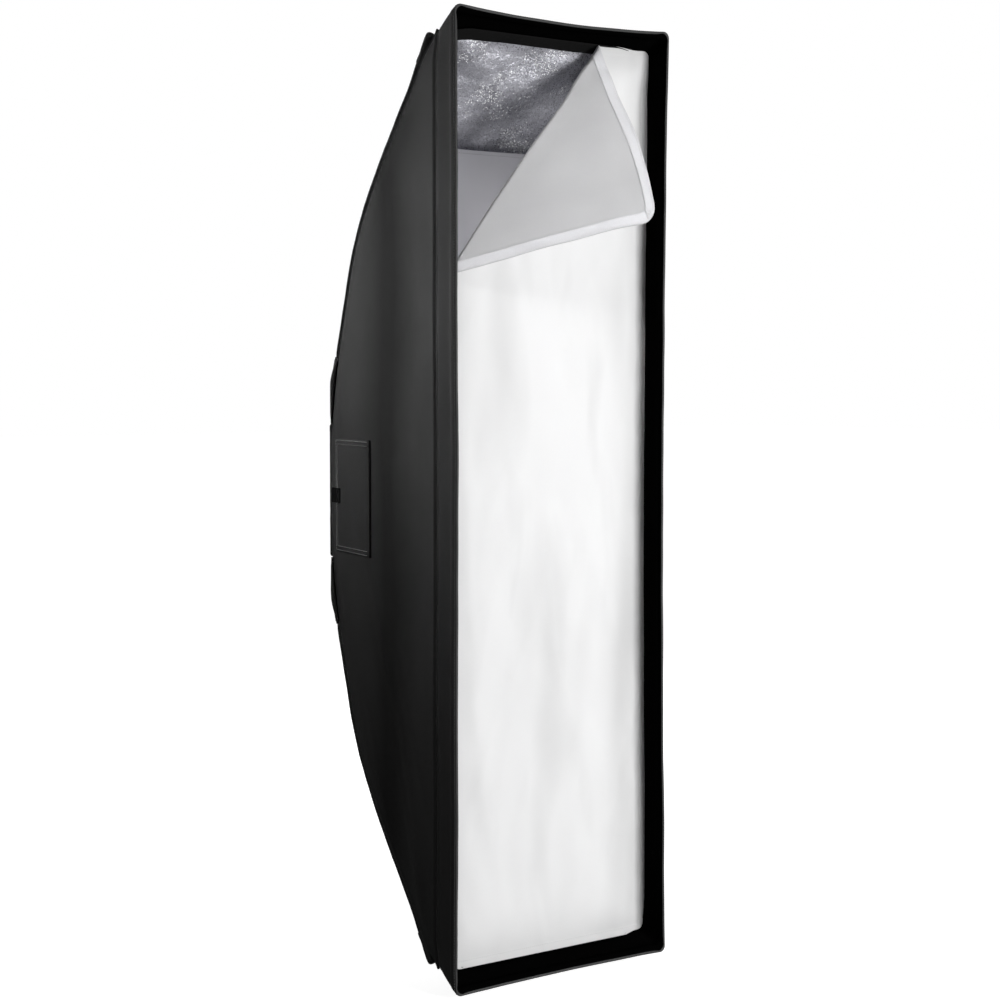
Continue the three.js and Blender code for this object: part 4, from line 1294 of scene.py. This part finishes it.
def diffuser_map(x, z, behind):
    """sheet coordinates to the peeled shape; behind is the distance behind the sheet's middle,
    along its own normal"""
    from_x, from_z, top = x - FOLD_LEFT[0], z - FOLD_LEFT[1], SHEET_Z - z
    along = from_x * FOLD_ALONG[0] + from_z * FOLD_ALONG[1]
    past = from_x * FOLD_AWAY[0] + from_z * FOLD_AWAY[1]
    share = along / FOLD_LENGTH
    radius = ROLL + 2.6 * smooth(0.72, 1.0, share) * smooth(1.06, 0.97, share)
    run = past + radius
    flat = run < 0
    angle = np.clip(run, 0, TURN * radius) / radius
    rest = np.maximum(run - TURN * radius, 0)
    # away runs across the fold in the sheet's plane, forward runs out of it
    away = np.where(flat, past, -radius + radius * np.sin(angle))
    forward = np.where(flat, 0, radius * (1 - np.cos(angle)))
    away = away + (np.sin(TURN + CURL * rest) - math.sin(TURN)) / CURL
    forward = forward + (math.cos(TURN) - np.cos(TURN + CURL * rest)) / CURL
    angle = np.where(flat, 0, angle) + CURL * rest
    # the crest sinks towards the sheet along its run
    top_sink = 1 - 0.85 * np.exp(-((share - 0.88) / 0.09) ** 2)
    sink = -(7.5 * smooth(1.0, 0.86, share) * top_sink + 6.0 * smooth(0.34, 0.0, share)
             - 2.2 * np.exp(-((along - FOLD_LENGTH * 0.55) / 70) ** 2))
    reach = np.where(flat, -run, rest) / np.where(flat, 50.0, 105.0)
    away = away + sink * np.exp(-reach ** 2)
    # the turned corner's upper edge bellies out
    belly = 12.0 * np.exp(-((rest - 138) / 62) ** 2) * smooth(150, 0, top)
    along = along + belly * np.where(flat, 0, 1)
    # relief, measured along the cloth's own forward side
    relief = (sheet_relief(x, z) * smooth(-4, -40, past)
              + corner_pull(x, z) * smooth(-30, -95, past))
    # a crease across the upper end
    over = np.maximum(-((FOLD_LENGTH * 0.86 - along) * 0.80 + rest * 0.60), 0)
    turned_over = smooth(0, 1, rest / 14)
    wrinkle = (noise(along / 60, rest / 55, 121) * 1.6
               + noise(along / 150, rest / 90, 122) * 3.0)
    wrinkle = (wrinkle * turned_over * smooth(0, 40, rest)
               + 0.16 * over * turned_over * smooth(0, 30, rest) * smooth(120, 30, over)
               + 5.0 * smooth(85, 0, np.hypot(x + SHEET_X, z - SHEET_Z)))
    out = -behind + np.where(flat, relief, wrinkle)
    forward = forward + out * np.cos(angle)
    away = away - out * np.sin(angle)
    # lift at the top right corner
    flat = np.where(flat, 1.0, 0.0)
    lift = 3.0 * smooth(100, 150, x) * smooth(60, 0, top) * flat
    hem, pull_x, pull_z = border_turn(x, z, past)
    # behind the sheet is outside the turned hem, so an offset there moves it outwards
    steep = smooth(0, 7, hem) * flat
    wide = np.where(np.abs(x) - (SHEET_X - BORDER) > np.abs(z) - (SHEET_Z - BORDER), 1.0, 0.0)
    shift_x = (pull_x + np.sign(x) * behind * steep * wide) * flat
    shift_z = (pull_z + np.sign(z) * behind * steep * (1 - wide)) * flat
    forward = forward + hem * flat + behind * steep * 0.75
    return np.stack([
        FOLD_LEFT[0] + FOLD_ALONG[0] * along + FOLD_AWAY[0] * away + shift_x,
        SHEET_Y - forward,
        FOLD_LEFT[1] + FOLD_ALONG[1] * along + FOLD_AWAY[1] * away + shift_z + lift], -1)


# distances past the fold where the sheet is cut so that it can roll
ROLL_CUTS = (-6.5, -5.2, -4.0, -2.8, -1.6, -0.4, 0.8, 2.0, 3.2, 4.4, 5.6, 7.0, 8.6, 10.5)


def flat_region(xs, zs):
    """points and faces of a flat grid in sheet coordinates, cut along the fold"""
    bm = bmesh.new()
    grid = [[bm.verts.new((x, z, 0)) for z in zs] for x in xs]
    for i in range(len(xs) - 1):
        for j in range(len(zs) - 1):
            bm.faces.new((grid[i][j], grid[i + 1][j], grid[i + 1][j + 1], grid[i][j + 1]))
    for cut in ROLL_CUTS:
        bmesh.ops.bisect_plane(bm, geom=bm.verts[:] + bm.edges[:] + bm.faces[:], dist=1e-4,
                               plane_co=(*map(float, FOLD_LEFT + FOLD_AWAY * cut), 0),
                               plane_no=(*map(float, FOLD_AWAY), 0))
    bmesh.ops.triangulate(bm, faces=[face for face in bm.faces if len(face.verts) > 4])
    bm.verts.index_update()
    points = np.array([tuple(vert.co)[:2] for vert in bm.verts])
    faces = [[vert.index for vert in face.verts] for face in bm.faces]
    bm.free()
    return points, faces


def round_sheet(x, z):
    """the peeled corner has the larger radius"""
    return round_corners(x, z, SHEET_X, SHEET_Z, np.where((x < 0) & (z > 0), 30.0, 13.0))


def cloth_piece(name, xs, zs, depths, mats, back_slot=0):
    """thin solid over a region of the sheet; depths gives its near and far side in mm behind
    the sheet's middle"""
    points, faces = flat_region(xs, zs)
    x, z = round_sheet(points[:, 0], points[:, 1])
    near, far = depths(x, z)
    return shell(name, diffuser_map(x, z, near), diffuser_map(x, z, far), faces,
                 sorted(border_edges(faces)), points * MM, mats, back_slot, back_slot)


def blend_over_fold(obj):
    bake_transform(obj)


def line_on_sheet(path, behind):
    """a path on the sheet and its backward normals"""
    points = resample([(x, z, 0) for x, z in path], 2.0)
    x, z = round_sheet(points[:, 0], points[:, 1])
    line = diffuser_map(x, z, behind)
    return line, diffuser_map(x, z, behind + 1) - line


def sheet_lines(half, count):
    """grid lines across the sheet, close together in the hem"""
    steps = np.array([0, 0.8, 2.5, 5, 7, 8.4, 9.8, 11.0, 12.0, 13.0, 14.0, 15.5])
    return np.union1d(np.concatenate([steps - half, half - steps]),
                      np.linspace(-half + 20, half - 20, count))


def sheet_depths(x, z):
    """the sheet is thicker in the hem"""
    hem = 1 - smooth(12.0, 13.5, np.minimum(SHEET_X - np.abs(x), SHEET_Z - np.abs(z)))
    return -0.45 - 0.35 * hem, 0.45 + 0.15 * hem


diffuser = cloth_piece("front_diffuser_cloth", sheet_lines(SHEET_X, 47),
                       sheet_lines(SHEET_Z, 168), sheet_depths,
                       ["diffuser", "diffuser_back_shaded"], back_slot=1)
blend_over_fold(diffuser)
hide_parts("front_diffuser", "diffuser_corner")

# loop tape sewn round the back of the sheet
TAPE = 15.5


def loop_tape(name, x_range, z_range, near=0.48, far=1.0):
    """ranges are start, stop and count"""
    def lines(start, stop, count):
        return np.union1d([start, start + 0.25, stop - 0.25, stop],
                          np.linspace(start, stop, count))

    def depths(x, z):
        wave = 0.15 * (1 + noise(x / 9, z / 11, 131))
        return near + wave, far + wave
    return cloth_piece(name, lines(*x_range), lines(*z_range), depths, ["tape"])


top_tape = loop_tape("diffuser_tape_top_loop", (-SHEET_X + 2, SHEET_X - 2, 60),
                     (SHEET_Z - 1 - TAPE, SHEET_Z - 1, 12))
left_tape = loop_tape("diffuser_tape_left_loop", (-SHEET_X + 1, -SHEET_X + 1 + TAPE, 12),
                      (-SHEET_Z + 2 + TAPE, SHEET_Z - 4, 170), near=0.52, far=1.15)
for obj, names in ((top_tape, ("corner_tape_top",)),
                   (left_tape, ("diffuser_tape_left", "corner_tape_side"))):
    blend_over_fold(obj)
    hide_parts(*names)
right_tape = loop_tape("diffuser_tape_right_loop", (SHEET_X - 1 - TAPE, SHEET_X - 1, 12),
                       (-SHEET_Z + 2 + TAPE, SHEET_Z - 2 - TAPE, 150))
give(right_tape, "front_diffuser", "fastener_tape", "diffuser_tape_right")
bottom_tape = loop_tape("diffuser_tape_bottom_loop", (-SHEET_X + 2, SHEET_X - 2, 50),
                        (-SHEET_Z + 1, -SHEET_Z + 1 + TAPE, 12))
give(bottom_tape, "front_diffuser", "fastener_tape", "diffuser_tape_bottom")

# back sewing: two rows along the top and left tapes, and a box where they meet
rows = []
for inset in (2.8, 1.0 + TAPE - 1.6):
    rows.append(line_on_sheet([(SHEET_X - 4, SHEET_Z - inset),
                               (-SHEET_X + 3, SHEET_Z - inset)], 1.35))
    rows.append(line_on_sheet([(-SHEET_X + inset, SHEET_Z - 5),
                               (-SHEET_X + inset, -SHEET_Z + 24)], 1.6))
outer_x, inner_x = -SHEET_X + 3, -SHEET_X + TAPE - 1
low, high = SHEET_Z - TAPE, SHEET_Z - 5
rows.append(line_on_sheet([(outer_x, low), (inner_x, low), (outer_x, high), (inner_x, high),
                           (outer_x, low)], 1.6))
obj = stitches("diffuser_back_stitches", *zip(*rows), "thread_white",
               pitch=3.6, length=2.4, width=0.7, height=0.35)
blend_over_fold(obj)

# front sewing: one hem row down the right, along the bottom and up the left to the fold
side_x, base_z = SHEET_X - 11.2, -SHEET_Z + 11.2
line, backward = line_on_sheet([(side_x, SHEET_Z - 12), (side_x, base_z), (-side_x, base_z),
                                (-side_x, float(FOLD_LEFT[1]) - 12)], -0.8)
obj = stitches("diffuser_front_stitches", [line], [-backward], "thread_white",
               pitch=3.8, length=2.6, width=0.7, height=0.35)
give(obj, "front_diffuser", "diffuser_fabric")


# ------------------------------------------- metal and moulded CAD pieces
def repaint(name, material):
    obj = frame["nodes"][name]
    obj.data.materials.clear()
    obj.data.materials.append(MATERIALS[material])
    for polygon in obj.data.polygons:
        polygon.use_smooth = False


repaint("mount_insert", "insert")
repaint("insert_snap_ring", "steel")
repaint("speedring_plate", "ring")
for tag, _ in ENDS:
    repaint(f"ring_lock_screw_{tag}", "plastic")
for tag, _, _ in CORNERS:
    repaint(f"rod_socket_{tag}", "ring")
    repaint(f"socket_screw_{tag}", "steel")
    repaint(f"rod_tip_{tag}", "plastic")


# ------------------------------------------------------ floor, light, camera
def floor_material():
    """white to the camera, with painted shade near the middle, and dim as a light source"""
    sh = new_shader("floor_white")
    mottle = sh.noise(sh.place(), Scale=3.0, Detail=2.0)
    seen = sh.seen()
    colour = sh.mix(seen, grey(0.07), sh.mix(mottle, grey(0.50), grey(0.54)))
    diffuse = sh.node("BsdfDiffuse", Color=colour)
    distance = sh.node("VectorMath", {"operation": "LENGTH"},
                       {0: sh.place()}).outputs["Value"]
    # painted shade under the object: the glow is lower near the middle, and the darker patch
    # fades out from 0.35 m over 1.1 m
    fade = sh.math("DIVIDE", sh.math("SUBTRACT", distance, 0.35), 1.1, clamp=True)
    glow = sh.scale_add(sh.math("SUBTRACT", 1.0, fade), -0.16, 1.0)
    glow = sh.math("MULTIPLY", glow, sh.scale_add(seen, 0.96, 0.04))
    emission = sh.node("Emission", Strength=glow)
    return sh.finish(sh.node("AddShader", at={0: diffuse.outputs[0],
                                              1: emission.outputs[0]}))


bpy.ops.mesh.primitive_grid_add(x_subdivisions=8, y_subdivisions=8, size=60,
                                location=(0, 0, CAD_BOX[0][2] - 0.004))
floor = bpy.context.object
floor.name = "floor"
floor.data.materials.append(floor_material())

# the world is white to the camera and dim as a light source
world = bpy.data.worlds.new("studio")
bpy.context.scene.world = world
world.use_nodes = True
background = world.node_tree.nodes["Background"]
background.inputs[0].default_value = (1, 1, 1, 1)
sh = Shader(world.node_tree)
sh.put(sh.scale_add(sh.seen(), 0.93, 0.07), background.inputs[1])


def area(name, place, target, size, energy, size_y=None, spread=None):
    """area light aimed at a target; metres, watts and degrees"""
    light = bpy.data.lights.new(name, "AREA")
    light.energy = energy
    light.size = size
    if size_y:
        light.shape = "RECTANGLE"
        light.size_y = size_y
    if spread:
        light.spread = math.radians(spread)
    obj = bpy.data.objects.new(name, light)
    bpy.context.scene.collection.objects.link(obj)
    obj.location = place
    aim = Vector(target) - Vector(place)
    obj.rotation_euler = aim.to_track_quat("-Z", "Y").to_euler()
    return obj


area("key_light", (0.80, -3.35, 0.05), (0.0, -0.2, 0.02), size=1.3, energy=160, size_y=1.5)
area("rear_left_light", (-1.10, 2.40, 0.75), (-0.2, 0.0, 0.18), size=0.6, energy=0.52,
     spread=28)
area("rear_left_fill", (-1.10, 2.60, 1.30), (-0.2, 0.0, 0.40), size=1.0, energy=2.2)
area("left_side_light", (-2.7, -0.75, 0.5), (-0.15, 0.0, 0.05), size=0.8, energy=6)
area("top_left_light", (-1.2, -1.5, 2.1), (-0.02, -0.28, 0.50), size=0.5, energy=0.5,
     spread=30)
area("rear_right_light", (2.2, 2.2, 1.3), (0.1, 0.1, 0.0), size=1.2, energy=72)
bounce = area("inside_bounce", (0.0, (FACE - 474) * MM, 0.0), (0.0, (FACE - 300) * MM, 0.0),
              size=0.30, energy=0.55, size_y=1.15)
bounce.visible_camera = False

camera_data = bpy.data.cameras.new("camera")
camera_data.lens = 75.6
camera_data.sensor_width = 36
camera = bpy.data.objects.new("camera", camera_data)
bpy.context.scene.collection.objects.link(camera)
place = Vector((-1.9692, -2.9458 + FACE * MM, 0.1748))
look = Vector((0.607, 0.7927, -0.0552)).normalized()
right = look.cross(Vector((0, 0, 1))).normalized()
turn = Matrix((right, right.cross(look), -look)).transposed().to_4x4()
camera.matrix_world = Matrix.Translation(place) @ turn
bpy.context.scene.camera = camera
view = bpy.context.scene.view_settings
view.view_transform = "Standard"
view.look = "None"
view.exposure = 0.0
view.gamma = 1.0

bpy.context.view_layer.update()
